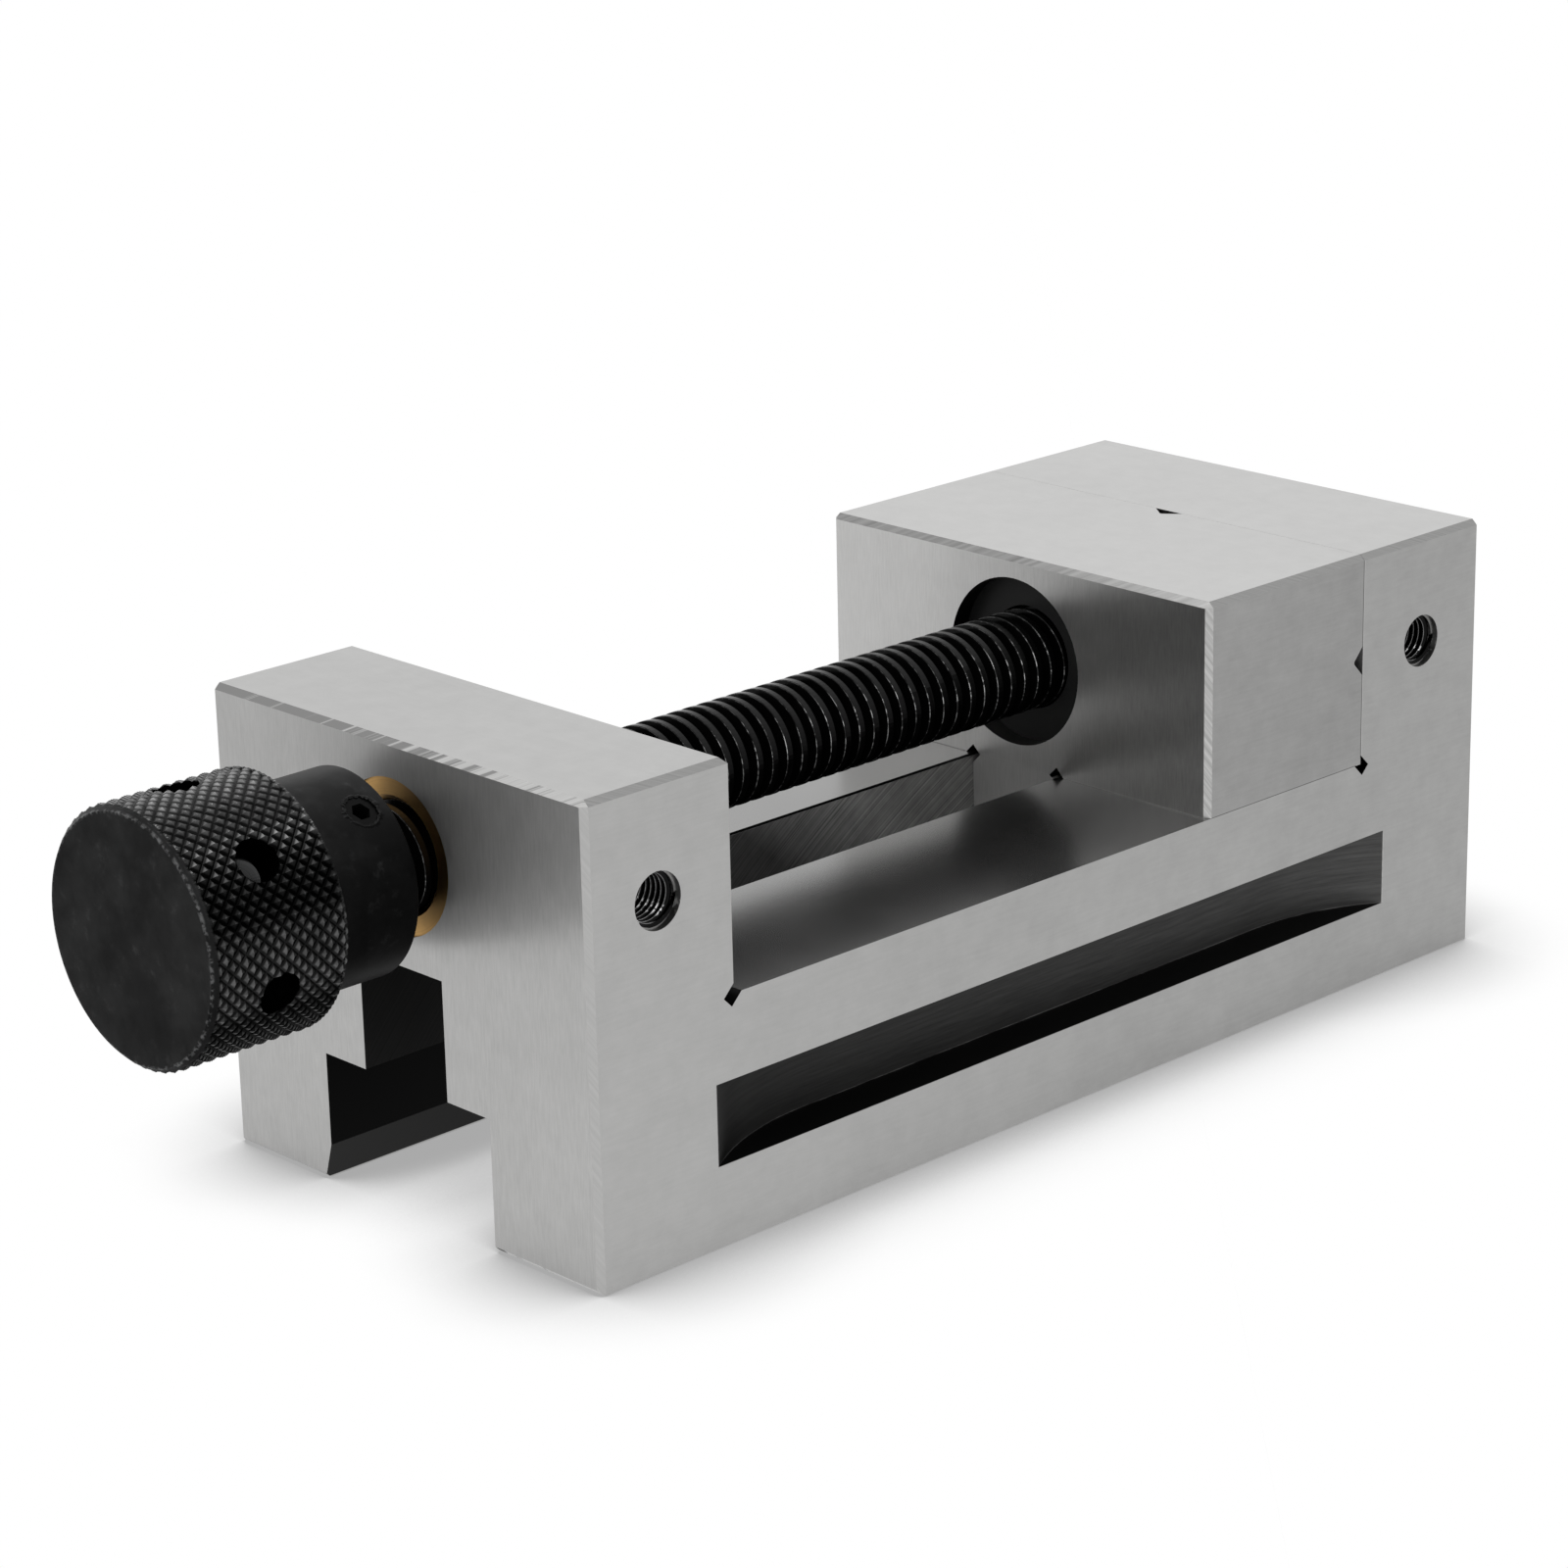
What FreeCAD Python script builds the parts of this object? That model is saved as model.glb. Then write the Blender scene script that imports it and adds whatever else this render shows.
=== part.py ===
import FreeCAD, Part
import math
import os

# Precision screw vise for grinding and toolroom work, jaws 80 mm wide.
# X runs from the knob towards the fixed jaw, Z is up, and Y = 0 is the middle plane.
# The origin is on the underside, below the face of the fixed jaw. All sizes are in mm.

# Body
JAW_WIDTH = 80.0
BED_HEIGHT = 37.0
JAW_DEPTH = 34.0
THROAT = 135.5
HEAD_THICKNESS = 26.0
FIXED_JAW_THICKNESS = 29.0
EDGE_BREAK = 0.9
UNDERSIDE_BREAK = 0.25
RELIEF_WIDTH = 2.1
RELIEF_DEPTH = 1.6

# Guide slot below the bed
GUIDE_WIDTH = 18.0
LEDGE_HEIGHT = 20.0
LOWER_SLOT_WIDTH = 36.0
SLOT_END = 2.0
SLOT_CORNER_RADIUS = 5.0
HEAD_SLOT_RISE = 1.0
RAIL_CHAMFER = 0.3
FLARE_HEIGHT = 5.8
FLARE_WIDTH = 1.7

# Clamping pockets in both sides
POCKET_START = 22.3
POCKET_LENGTH = 145.4
POCKET_BOTTOM = 12.3
POCKET_HEIGHT = 12.2
POCKET_DEPTH = 7.0
CUTTER_RADIUS = 40.0

# Tapped holes in both sides of the head and of the fixed jaw, at the thread's outside diameter
SIDE_HOLE_RADIUS = 4.0
SIDE_HOLE_MOUTH_RADIUS = 4.2
SIDE_HOLE_MOUTH_DEPTH = 1.2
SIDE_HOLE_DEPTH = 16.0
HEAD_HOLE_SETBACK = 12.6
JAW_HOLE_SETBACK = 14.5

# Movable jaw
JAW_LENGTH = 36.5
JAW_SEAM = 0.05
JAW_FLOAT = 0.02
GUIDE_CLEARANCE = 0.05
TONGUE_SETBACK = 7.5
V_WIDTH_ACROSS = 4.7
V_WIDTH_UPRIGHT = 5.5
V_BOTTOM_FLAT = 0.4
V_DEPTH = 2.0

# Keeper below the rails
KEEPER_THICKNESS = 9.0
KEEPER_SIDE_CLEARANCE = 0.4
KEEPER_FRONT_SETBACK = 1.0
KEEPER_CORNER_RADIUS = 4.0
KEEPER_HEAD_WALL = 1.2
KEEPER_SCREW_RADIUS = 2.5
KEEPER_HEAD_RADIUS = 4.25
KEEPER_HEAD_HEIGHT = 5.0
KEEPER_HEAD_SINK = 0.5
KEEPER_SCREW_GRIP = 10.0
KEEPER_TAP_EXTRA = 3.0
KEEPER_HOLE_CLEARANCE = 0.3
KEEPER_SOCKET_ACROSS = 4.0
KEEPER_SOCKET_DEPTH = 2.5

# Lead screw, at the thread's outside diameter
SCREW_RADIUS = 8.0
SCREW_CLEARANCE = 0.05
THRUST_COLLAR_RADIUS = 11.5
THRUST_COLLAR_LENGTH = 6.0
THRUST_PLAY = 0.05
KNOB_SEAT_RADIUS = 6.0
KNOB_SEAT_LENGTH = 24.0

# Bronze nut in the head
NUT_RADIUS = 11.5
NUT_RECESS = 0.4
NUT_MOUTH_CHAMFER = 0.8

# Thrust bearing in the movable jaw
THRUST_BORE_RADIUS = 13.5
RING_SINK = 3.5
RING_LENGTH = 6.0
RING_CLEARANCE = 0.3
WASHER_THICKNESS = 2.0

# Knob
KNOB_GAP = 7.7
COLLAR_RADIUS = 15.0
COLLAR_LENGTH = 14.8
KNURL_RADIUS = 18.5
KNURL_LENGTH = 22.3
KNOB_FRONT_BREAK = 1.0
KNOB_REAR_BREAK = 0.5
TOMMY_HOLES = 6
TOMMY_RADIUS = 3.2
TOMMY_DEPTH = 6.0
TOMMY_FIRST_ANGLE = 20.0
SET_SCREW_RADIUS = 2.5
SET_SCREW_SINK = 0.3
SET_SCREW_SETBACK = 4.6
SET_SCREW_ANGLE = 127.0
SET_SCREW_SOCKET_ACROSS = 2.5
SET_SCREW_SOCKET_DEPTH = 2.5
HEX_CORNERS = 6

# Tools
DRILL_POINT_ANGLE = 118.0
# How far the space that is cut away runs past the faces that it opens
OVERRUN = 1.0

# Heights and places that follow from the sizes above
HALF_WIDTH = JAW_WIDTH / 2
TOP = BED_HEIGHT + JAW_DEPTH
AXIS_HEIGHT = BED_HEIGHT + JAW_DEPTH / 2
HEAD_REAR = -THROAT
HEAD_FRONT = HEAD_REAR - HEAD_THICKNESS
JAW_FACE = -JAW_SEAM
JAW_FRONT = JAW_FACE - JAW_LENGTH
TONGUE_REAR = -TONGUE_SETBACK
JAW_UNDERSIDE = BED_HEIGHT + JAW_FLOAT
KEEPER_TOP = LEDGE_HEIGHT - GUIDE_CLEARANCE
KEEPER_UNDERSIDE = KEEPER_TOP - KEEPER_THICKNESS
RING_FRONT = JAW_FRONT + RING_SINK
RING_REAR = RING_FRONT + RING_LENGTH
COLLAR_FRONT = RING_REAR + THRUST_PLAY
COLLAR_REAR = COLLAR_FRONT + THRUST_COLLAR_LENGTH
WASHER_FRONT = COLLAR_REAR + THRUST_PLAY
WASHER_REAR = WASHER_FRONT + WASHER_THICKNESS
KNOB_REAR = HEAD_FRONT - KNOB_GAP
KNURL_REAR = KNOB_REAR - COLLAR_LENGTH
KNOB_FRONT = KNURL_REAR - KNURL_LENGTH
SET_SCREW_X = KNOB_REAR - SET_SCREW_SETBACK

X_AXIS = FreeCAD.Vector(1, 0, 0)
Y_AXIS = FreeCAD.Vector(0, 1, 0)
Z_AXIS = FreeCAD.Vector(0, 0, 1)


def vec(x, y, z):
    return FreeCAD.Vector(x, y, z)


def slab(x0, x1, y0, y1, z0, z1):
    """A rectangular block between two corners."""
    return Part.makeBox(x1 - x0, y1 - y0, z1 - z0, vec(x0, y0, z0))


def prism(points, along):
    """A flat outline of corners, pushed along a vector."""
    wire = Part.makePolygon([vec(*point) for point in points + points[:1]])
    return Part.Face(wire).extrude(along)


def rod(radius, x0, x1):
    """A round bar on the screw axis."""
    return Part.makeCylinder(radius, x1 - x0, vec(x0, 0, AXIS_HEIGHT), X_AXIS)


def turned(outline):
    """A body turned about the screw axis from (x, radius) corners."""
    points = [vec(x, 0, AXIS_HEIGHT + radius) for x, radius in outline]
    face = Part.Face(Part.makePolygon(points + points[:1]))
    return face.revolve(vec(0, 0, AXIS_HEIGHT), X_AXIS, 360)


def upright_edges(solid):
    return [edge for edge in solid.Edges if is_line_along(edge, Z_AXIS)]


def is_line_along(edge, direction):
    if not isinstance(edge.Curve, Part.Line):
        return False
    return near(abs(edge.Curve.Direction.dot(direction)), 1)


def edges_where(solid, test):
    """The edges whose two ends both pass the test."""
    return [edge for edge in solid.Edges
            if all(test(vertex.Point) for vertex in edge.Vertexes)]


def near(a, b):
    return abs(a - b) < 1e-6


def drill_point(radius):
    """The height of the cone that a drill leaves at the bottom of a hole."""
    return radius / math.tan(math.radians(DRILL_POINT_ANGLE / 2))


def hex_socket(across, depth, base, direction, turn_axis):
    """A hexagon socket's space, sunk from base along direction."""
    circumradius = across / math.sqrt(3)
    start = turn_axis * circumradius
    corners = []
    for i in range(HEX_CORNERS):
        turn = FreeCAD.Rotation(direction, 360.0 / HEX_CORNERS * i)
        corners.append(base + turn.multVec(start))
    wire = Part.makePolygon(corners + corners[:1])
    return Part.Face(wire).extrude(direction * depth)


def body_blank():
    """Base, head and fixed jaw from one side profile, with the outer edges broken."""
    rear = FIXED_JAW_THICKNESS
    outline = [
        (HEAD_FRONT, 0), (HEAD_FRONT, TOP), (HEAD_REAR, TOP), (HEAD_REAR, BED_HEIGHT),
        (0, BED_HEIGHT), (0, TOP), (rear, TOP), (rear, 0),
    ]
    blank = prism([(x, -HALF_WIDTH, z) for x, z in outline], Y_AXIS * JAW_WIDTH)
    top_edges = edges_where(blank, lambda p: near(p.z, TOP))
    broken = [edge for edge in top_edges if not near(edge.CenterOfMass.x, 0)]
    broken += edges_where(blank, lambda p: near(p.x, HEAD_FRONT) and near(abs(p.y), HALF_WIDTH))
    broken += edges_where(blank, lambda p: near(p.x, rear) and near(abs(p.y), HALF_WIDTH))
    blank = blank.makeChamfer(EDGE_BREAK, broken)
    return blank.makeChamfer(UNDERSIDE_BREAK, edges_where(blank, lambda p: near(p.z, 0)))


def corner_relief(corner_x, into):
    """The 45 degree groove where the bed meets an upright face."""
    half = RELIEF_WIDTH / 2
    away = vec(into, 0, -1).normalize()
    across = vec(into, 0, 1).normalize()
    corner = vec(corner_x, -HALF_WIDTH, BED_HEIGHT)
    outer = corner - away * RELIEF_WIDTH
    inner = corner + away * RELIEF_DEPTH
    ring = [outer - across * half, inner - across * half,
            inner + across * half, outer + across * half]
    return prism([tuple(p) for p in ring], Y_AXIS * JAW_WIDTH)


def guide_slot():
    """Upper slot for the tongue and wider lower slot for the keeper."""
    half = GUIDE_WIDTH / 2
    rear = -SLOT_END
    front = HEAD_FRONT - OVERRUN
    wide = LOWER_SLOT_WIDTH / 2
    upper = slab(front, rear, -half, half, LEDGE_HEIGHT - OVERRUN, BED_HEIGHT + HEAD_SLOT_RISE)
    lower = slab(front, rear, -wide, wide, -OVERRUN, LEDGE_HEIGHT)
    upper = round_rear_corners(upper, rear, SLOT_CORNER_RADIUS)
    lower = round_rear_corners(lower, rear, SLOT_CORNER_RADIUS)
    return upper.fuse(lower).fuse(slot_flare())


def round_rear_corners(solid, x, radius):
    corners = [edge for edge in upright_edges(solid) if near(edge.CenterOfMass.x, x)]
    return solid.makeFillet(radius, corners)


def slot_flare():
    """The far wall of the lower slot leans out a little towards the underside."""
    half = LOWER_SLOT_WIDTH / 2
    wide = half + FLARE_WIDTH
    x = HEAD_FRONT - OVERRUN
    rear = -SLOT_END - SLOT_CORNER_RADIUS
    outline = [(x, 0, FLARE_HEIGHT), (x, half, FLARE_HEIGHT), (x, wide, 0),
               (x, wide, -OVERRUN), (x, 0, -OVERRUN)]
    return prism(outline, X_AXIS * (rear - x))


def rail_chamfers():
    """The bevels on the inner top edges of the two rails."""
    half = GUIDE_WIDTH / 2
    wide = half + RAIL_CHAMFER
    low = BED_HEIGHT - RAIL_CHAMFER
    outline = [(HEAD_REAR, -half, low), (HEAD_REAR, -wide, BED_HEIGHT),
               (HEAD_REAR, wide, BED_HEIGHT), (HEAD_REAR, half, low)]
    rear = -SLOT_END - SLOT_CORNER_RADIUS
    return prism(outline, X_AXIS * (rear - HEAD_REAR))


def side_pocket(side):
    """A clamping recess whose ends run out as a disc cutter leaves them."""
    wall = side * HALF_WIDTH
    floor = wall - side * POCKET_DEPTH
    x0 = HEAD_FRONT + POCKET_START
    x1 = x0 + POCKET_LENGTH
    runout = math.sqrt(CUTTER_RADIUS ** 2 - (CUTTER_RADIUS - POCKET_DEPTH) ** 2)
    outer = wall + side * OVERRUN
    z = POCKET_BOTTOM
    centre = floor + side * CUTTER_RADIUS
    near_end = x0 + runout
    far_end = x1 - runout
    half_chord = math.asin(runout / CUTTER_RADIUS) / 2
    reach = CUTTER_RADIUS * math.sin(half_chord)
    drop = CUTTER_RADIUS * math.cos(half_chord)
    start = vec(x0, wall, z)
    turn0 = vec(near_end - reach, centre - side * drop, z)
    flat0 = vec(near_end, floor, z)
    flat1 = vec(far_end, floor, z)
    turn1 = vec(far_end + reach, centre - side * drop, z)
    end = vec(x1, wall, z)
    edges = [
        Part.Arc(start, turn0, flat0).toShape(),
        Part.makeLine(flat0, flat1),
        Part.Arc(flat1, turn1, end).toShape(),
        Part.makeLine(end, vec(x1, outer, z)),
        Part.makeLine(vec(x1, outer, z), vec(x0, outer, z)),
        Part.makeLine(vec(x0, outer, z), start),
    ]
    return Part.Face(Part.Wire(edges)).extrude(Z_AXIS * POCKET_HEIGHT)


def side_hole(x, side):
    """A blind tapped hole with a drilled point and a plain mouth."""
    wall = side * HALF_WIDTH
    inward = Y_AXIS * -side
    mouth_point = vec(x, wall, AXIS_HEIGHT)
    drill = Part.makeCylinder(SIDE_HOLE_RADIUS, SIDE_HOLE_DEPTH, mouth_point, inward)
    tip = Part.makeCone(SIDE_HOLE_RADIUS, 0, drill_point(SIDE_HOLE_RADIUS),
                        mouth_point + inward * SIDE_HOLE_DEPTH, inward)
    mouth = Part.makeCylinder(SIDE_HOLE_MOUTH_RADIUS, SIDE_HOLE_MOUTH_DEPTH, mouth_point, inward)
    return drill.fuse([tip, mouth])


def vise_body():
    """The one-piece base with its head and fixed jaw."""
    cuts = [guide_slot(), rail_chamfers()]
    cuts.append(corner_relief(HEAD_REAR, -1))
    cuts.append(corner_relief(0, 1))
    cuts.append(rod(NUT_RADIUS, HEAD_FRONT - OVERRUN, HEAD_REAR + OVERRUN))
    for side in (-1, 1):
        cuts.append(side_pocket(side))
        cuts.append(side_hole(HEAD_FRONT + HEAD_HOLE_SETBACK, side))
        cuts.append(side_hole(JAW_HOLE_SETBACK, side))
    return body_blank().cut(cuts)


def jaw_block():
    """The movable jaw above the bed; the edges of its working face stay sharp."""
    block = slab(JAW_FRONT, JAW_FACE, -HALF_WIDTH, HALF_WIDTH, JAW_UNDERSIDE, TOP)
    broken = edges_where(block, lambda p: near(p.z, TOP))
    broken = [edge for edge in broken if not near(edge.CenterOfMass.x, JAW_FACE)]
    broken += [edge for edge in upright_edges(block) if near(edge.CenterOfMass.x, JAW_FRONT)]
    return block.makeChamfer(EDGE_BREAK, broken)


def jaw_tongue():
    """The tongue that runs between the rails."""
    half = GUIDE_WIDTH / 2 - GUIDE_CLEARANCE
    return slab(JAW_FRONT, TONGUE_REAR, -half, half, LEDGE_HEIGHT, JAW_UNDERSIDE + OVERRUN)


def tongue_relief(side):
    """The 45 degree square groove in the corner between tongue and underside."""
    reach = RELIEF_WIDTH / math.sqrt(2)
    x = JAW_FRONT - OVERRUN
    y = side * (GUIDE_WIDTH / 2 - GUIDE_CLEARANCE)
    z = JAW_UNDERSIDE
    outline = [(x, y, z + reach), (x, y + reach, z), (x, y, z - reach), (x, y - reach, z)]
    return prism(outline, X_AXIS * (JAW_LENGTH + 2 * OVERRUN))


def v_groove(lengthwise, across, width, centre, half_length):
    """A V groove in the working face, along a direction through centre."""
    half = width / 2
    flat = V_BOTTOM_FLAT / 2
    start = centre - lengthwise * half_length
    deep = start - X_AXIS * V_DEPTH
    corners = [start - across * half, deep - across * flat, deep + across * flat,
               start + across * half]
    past = [p + X_AXIS * OVERRUN for p in (corners[3], corners[0])]
    outline = [tuple(p) for p in corners + past]
    return prism(outline, lengthwise * (2 * half_length))


def thrust_bore():
    """The bore that takes the retaining ring, thrust collar and washer."""
    return rod(THRUST_BORE_RADIUS, JAW_FRONT - OVERRUN, WASHER_REAR + THRUST_PLAY)


def keeper_screw_places():
    """Each screw keeps its own wall of metal to its end of the keeper."""
    inset = KEEPER_HEAD_RADIUS + KEEPER_HOLE_CLEARANCE + KEEPER_HEAD_WALL
    return {"front": JAW_FRONT + KEEPER_FRONT_SETBACK + inset, "rear": TONGUE_REAR - inset}


def movable_jaw():
    """The sliding jaw: block and tongue in one piece."""
    face = vec(JAW_FACE, 0, AXIS_HEIGHT)
    jaw = jaw_block().fuse(jaw_tongue())
    cuts = [thrust_bore(), tongue_relief(1), tongue_relief(-1)]
    cuts.append(v_groove(Y_AXIS, Z_AXIS, V_WIDTH_ACROSS, face, JAW_WIDTH))
    cuts.append(v_groove(Z_AXIS, Y_AXIS, V_WIDTH_UPRIGHT, face, JAW_DEPTH))
    tapped = KEEPER_SCREW_GRIP + KEEPER_TAP_EXTRA + OVERRUN
    for x in keeper_screw_places().values():
        mouth = vec(x, 0, LEDGE_HEIGHT - OVERRUN)
        cuts.append(Part.makeCylinder(KEEPER_SCREW_RADIUS, tapped, mouth))
    return jaw.cut(cuts).removeSplitter()


def keeper_plate():
    """The plate under the ledges that holds the jaw down."""
    half = LOWER_SLOT_WIDTH / 2 - KEEPER_SIDE_CLEARANCE
    front = JAW_FRONT + KEEPER_FRONT_SETBACK
    plate = slab(front, TONGUE_REAR, -half, half, KEEPER_UNDERSIDE, KEEPER_TOP)
    plate = plate.makeFillet(KEEPER_CORNER_RADIUS, upright_edges(plate))
    head = KEEPER_HEAD_RADIUS + KEEPER_HOLE_CLEARANCE
    shank = KEEPER_SCREW_RADIUS + KEEPER_HOLE_CLEARANCE
    deep = KEEPER_HEAD_HEIGHT + KEEPER_HEAD_SINK
    cuts = []
    for x in keeper_screw_places().values():
        below = vec(x, 0, KEEPER_UNDERSIDE - OVERRUN)
        cuts.append(Part.makeCylinder(head, deep + OVERRUN, below))
        cuts.append(Part.makeCylinder(shank, KEEPER_THICKNESS + 2 * OVERRUN, below))
    return plate.cut(cuts)


def keeper_screw(x):
    """A socket cap screw from below through the keeper into the tongue."""
    seat = KEEPER_UNDERSIDE + KEEPER_HEAD_HEIGHT + KEEPER_HEAD_SINK
    base = seat - KEEPER_HEAD_HEIGHT
    head = Part.makeCylinder(KEEPER_HEAD_RADIUS, KEEPER_HEAD_HEIGHT, vec(x, 0, base))
    length = LEDGE_HEIGHT + KEEPER_SCREW_GRIP - seat
    shank = Part.makeCylinder(KEEPER_SCREW_RADIUS, length, vec(x, 0, seat))
    socket = hex_socket(KEEPER_SOCKET_ACROSS, KEEPER_SOCKET_DEPTH, vec(x, 0, base),
                        Z_AXIS, X_AXIS)
    return head.fuse(shank).cut(socket)


def lead_screw():
    """The screw with its thrust collar and the seat for the knob."""
    collar = THRUST_COLLAR_RADIUS
    return turned([
        (KNOB_REAR - KNOB_SEAT_LENGTH, 0), (KNOB_REAR - KNOB_SEAT_LENGTH, KNOB_SEAT_RADIUS),
        (KNOB_REAR, KNOB_SEAT_RADIUS), (KNOB_REAR, SCREW_RADIUS),
        (COLLAR_FRONT, SCREW_RADIUS), (COLLAR_FRONT, collar),
        (COLLAR_REAR, collar), (COLLAR_REAR, 0),
    ])


def screw_nut():
    """The bronze nut pressed into the head, a little below its front face."""
    bore = SCREW_RADIUS + SCREW_CLEARANCE
    mouth = bore + NUT_MOUTH_CHAMFER
    front = HEAD_FRONT + NUT_RECESS
    rear = HEAD_REAR - NUT_RECESS
    return turned([
        (front, mouth), (front, NUT_RADIUS), (rear, NUT_RADIUS), (rear, mouth),
        (rear - NUT_MOUTH_CHAMFER, bore), (front + NUT_MOUTH_CHAMFER, bore),
    ])


def retaining_ring():
    """The ring that keeps the thrust collar in the jaw."""
    bore = rod(SCREW_RADIUS + RING_CLEARANCE, RING_FRONT - OVERRUN, RING_REAR + OVERRUN)
    return rod(THRUST_BORE_RADIUS, RING_FRONT, RING_REAR).cut(bore)


def thrust_washer():
    """The bronze disc that the end of the screw pushes on."""
    radius = THRUST_BORE_RADIUS - RING_CLEARANCE
    return rod(radius, WASHER_FRONT, WASHER_REAR)


def radial(angle):
    """The direction square to the screw axis at an angle from +Y towards +Z."""
    turn = math.radians(angle)
    return vec(0, math.cos(turn), math.sin(turn))


def tommy_hole(angle):
    """A blind bar hole with a drilled point in the knurled rim."""
    out = radial(angle)
    x = (KNOB_FRONT + KNURL_REAR) / 2
    centre = vec(x, 0, AXIS_HEIGHT)
    outside = centre + out * (KNURL_RADIUS + OVERRUN)
    bottom = centre + out * (KNURL_RADIUS - TOMMY_DEPTH)
    hole = Part.makeCylinder(TOMMY_RADIUS, TOMMY_DEPTH + OVERRUN, outside, -out)
    tip = Part.makeCone(TOMMY_RADIUS, 0, drill_point(TOMMY_RADIUS), bottom, -out)
    return hole.fuse(tip)


def set_screw_hole():
    """The cross hole from the collar's outside into the knob's bore."""
    out = radial(SET_SCREW_ANGLE)
    inner = KNOB_SEAT_RADIUS - OVERRUN
    outer = COLLAR_RADIUS + OVERRUN
    base = vec(SET_SCREW_X, 0, AXIS_HEIGHT) + out * inner
    return Part.makeCylinder(SET_SCREW_RADIUS, outer - inner, base, out)


def knob():
    """The knob turned from one bar: knurled rim, smooth collar, blind bore."""
    f = KNOB_FRONT_BREAK
    r = KNOB_REAR_BREAK
    outer = turned([
        (KNOB_FRONT, 0), (KNOB_FRONT, KNURL_RADIUS - f), (KNOB_FRONT + f, KNURL_RADIUS),
        (KNURL_REAR - r, KNURL_RADIUS), (KNURL_REAR, KNURL_RADIUS - r),
        (KNURL_REAR, COLLAR_RADIUS), (KNOB_REAR - r, COLLAR_RADIUS),
        (KNOB_REAR, COLLAR_RADIUS - r), (KNOB_REAR, 0),
    ])
    cuts = [rod(KNOB_SEAT_RADIUS, KNOB_REAR - KNOB_SEAT_LENGTH, KNOB_REAR + OVERRUN)]
    for i in range(TOMMY_HOLES):
        cuts.append(tommy_hole(TOMMY_FIRST_ANGLE + 360.0 / TOMMY_HOLES * i))
    cuts.append(set_screw_hole())
    return outer.cut(cuts)


def knob_set_screw():
    """The socket set screw that fixes the knob on the screw, sunk just below the collar."""
    out = radial(SET_SCREW_ANGLE)
    length = COLLAR_RADIUS - SET_SCREW_SINK - KNOB_SEAT_RADIUS
    base = vec(SET_SCREW_X, 0, AXIS_HEIGHT) + out * KNOB_SEAT_RADIUS
    shank = Part.makeCylinder(SET_SCREW_RADIUS, length, base, out)
    # The screw's inner end sits flat on the round seat of the shaft.
    shank = shank.cut(rod(KNOB_SEAT_RADIUS, KNURL_REAR, KNOB_REAR))
    top = base + out * length
    socket = hex_socket(SET_SCREW_SOCKET_ACROSS, SET_SCREW_SOCKET_DEPTH, top, -out, X_AXIS)
    return shank.cut(socket)


def pieces():
    places = keeper_screw_places()
    return {
        "vise_body": vise_body(),
        "movable_jaw": movable_jaw(),
        "keeper_plate": keeper_plate(),
        "keeper_screw_front": keeper_screw(places["front"]),
        "keeper_screw_rear": keeper_screw(places["rear"]),
        "lead_screw": lead_screw(),
        "screw_nut": screw_nut(),
        "retaining_ring": retaining_ring(),
        "thrust_washer": thrust_washer(),
        "knob": knob(),
        "knob_set_screw": knob_set_screw(),
    }


os.makedirs("parts", exist_ok=True)
for name, shape in pieces().items():
    shape.exportStep("parts/" + name + ".step")
    print(name, shape.isValid(), len(shape.Solids), round(shape.Volume, 1))
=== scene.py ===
import math
import random

import bmesh
import bpy
from mathutils import Matrix, Vector


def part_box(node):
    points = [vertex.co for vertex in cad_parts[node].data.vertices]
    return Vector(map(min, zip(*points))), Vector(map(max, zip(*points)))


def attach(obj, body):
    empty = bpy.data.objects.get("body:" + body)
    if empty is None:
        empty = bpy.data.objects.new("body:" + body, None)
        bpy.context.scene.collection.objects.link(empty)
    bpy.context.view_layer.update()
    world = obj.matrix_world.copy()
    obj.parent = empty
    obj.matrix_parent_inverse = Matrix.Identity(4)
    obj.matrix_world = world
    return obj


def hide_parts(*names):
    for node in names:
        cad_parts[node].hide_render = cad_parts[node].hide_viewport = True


# Precision screw vise: finishes, knurl and threads around the solid model.
# Lengths are in metres in the frame of the solids: X from the knob towards the
# fixed jaw, Z up, Y = 0 in the middle of the width.

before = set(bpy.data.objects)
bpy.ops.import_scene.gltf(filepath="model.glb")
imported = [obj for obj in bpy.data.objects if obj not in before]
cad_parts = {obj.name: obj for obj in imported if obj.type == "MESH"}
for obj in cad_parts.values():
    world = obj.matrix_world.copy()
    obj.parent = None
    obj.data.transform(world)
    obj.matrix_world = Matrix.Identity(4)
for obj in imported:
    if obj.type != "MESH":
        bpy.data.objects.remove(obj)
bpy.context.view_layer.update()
MM = 0.001
# How soft the edges of most masks are
HAIR = 0.1 * MM

# Places that follow from the solids
BODY_LOW, BODY_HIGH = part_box("vise_body")
JAW_LOW, JAW_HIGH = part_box("movable_jaw")
KNOB_LOW, KNOB_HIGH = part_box("knob")
SCREW_LOW, SCREW_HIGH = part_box("lead_screw")
NUT_LOW, NUT_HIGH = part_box("screw_nut")
RING_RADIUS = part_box("retaining_ring")[1][1]
SET_SCREW_LOW, SET_SCREW_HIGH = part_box("knob_set_screw")
SET_SCREW_X = (SET_SCREW_LOW[0] + SET_SCREW_HIGH[0]) / 2
AXIS_Z = (NUT_LOW[2] + NUT_HIGH[2]) / 2
HALF_WIDTH = BODY_HIGH[1]
HEAD_FRONT = BODY_LOW[0]
JAW_FRONT = JAW_LOW[0]
BED_HEIGHT = 37.0 * MM
HEAD_REAR = HEAD_FRONT + 26.0 * MM

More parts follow.
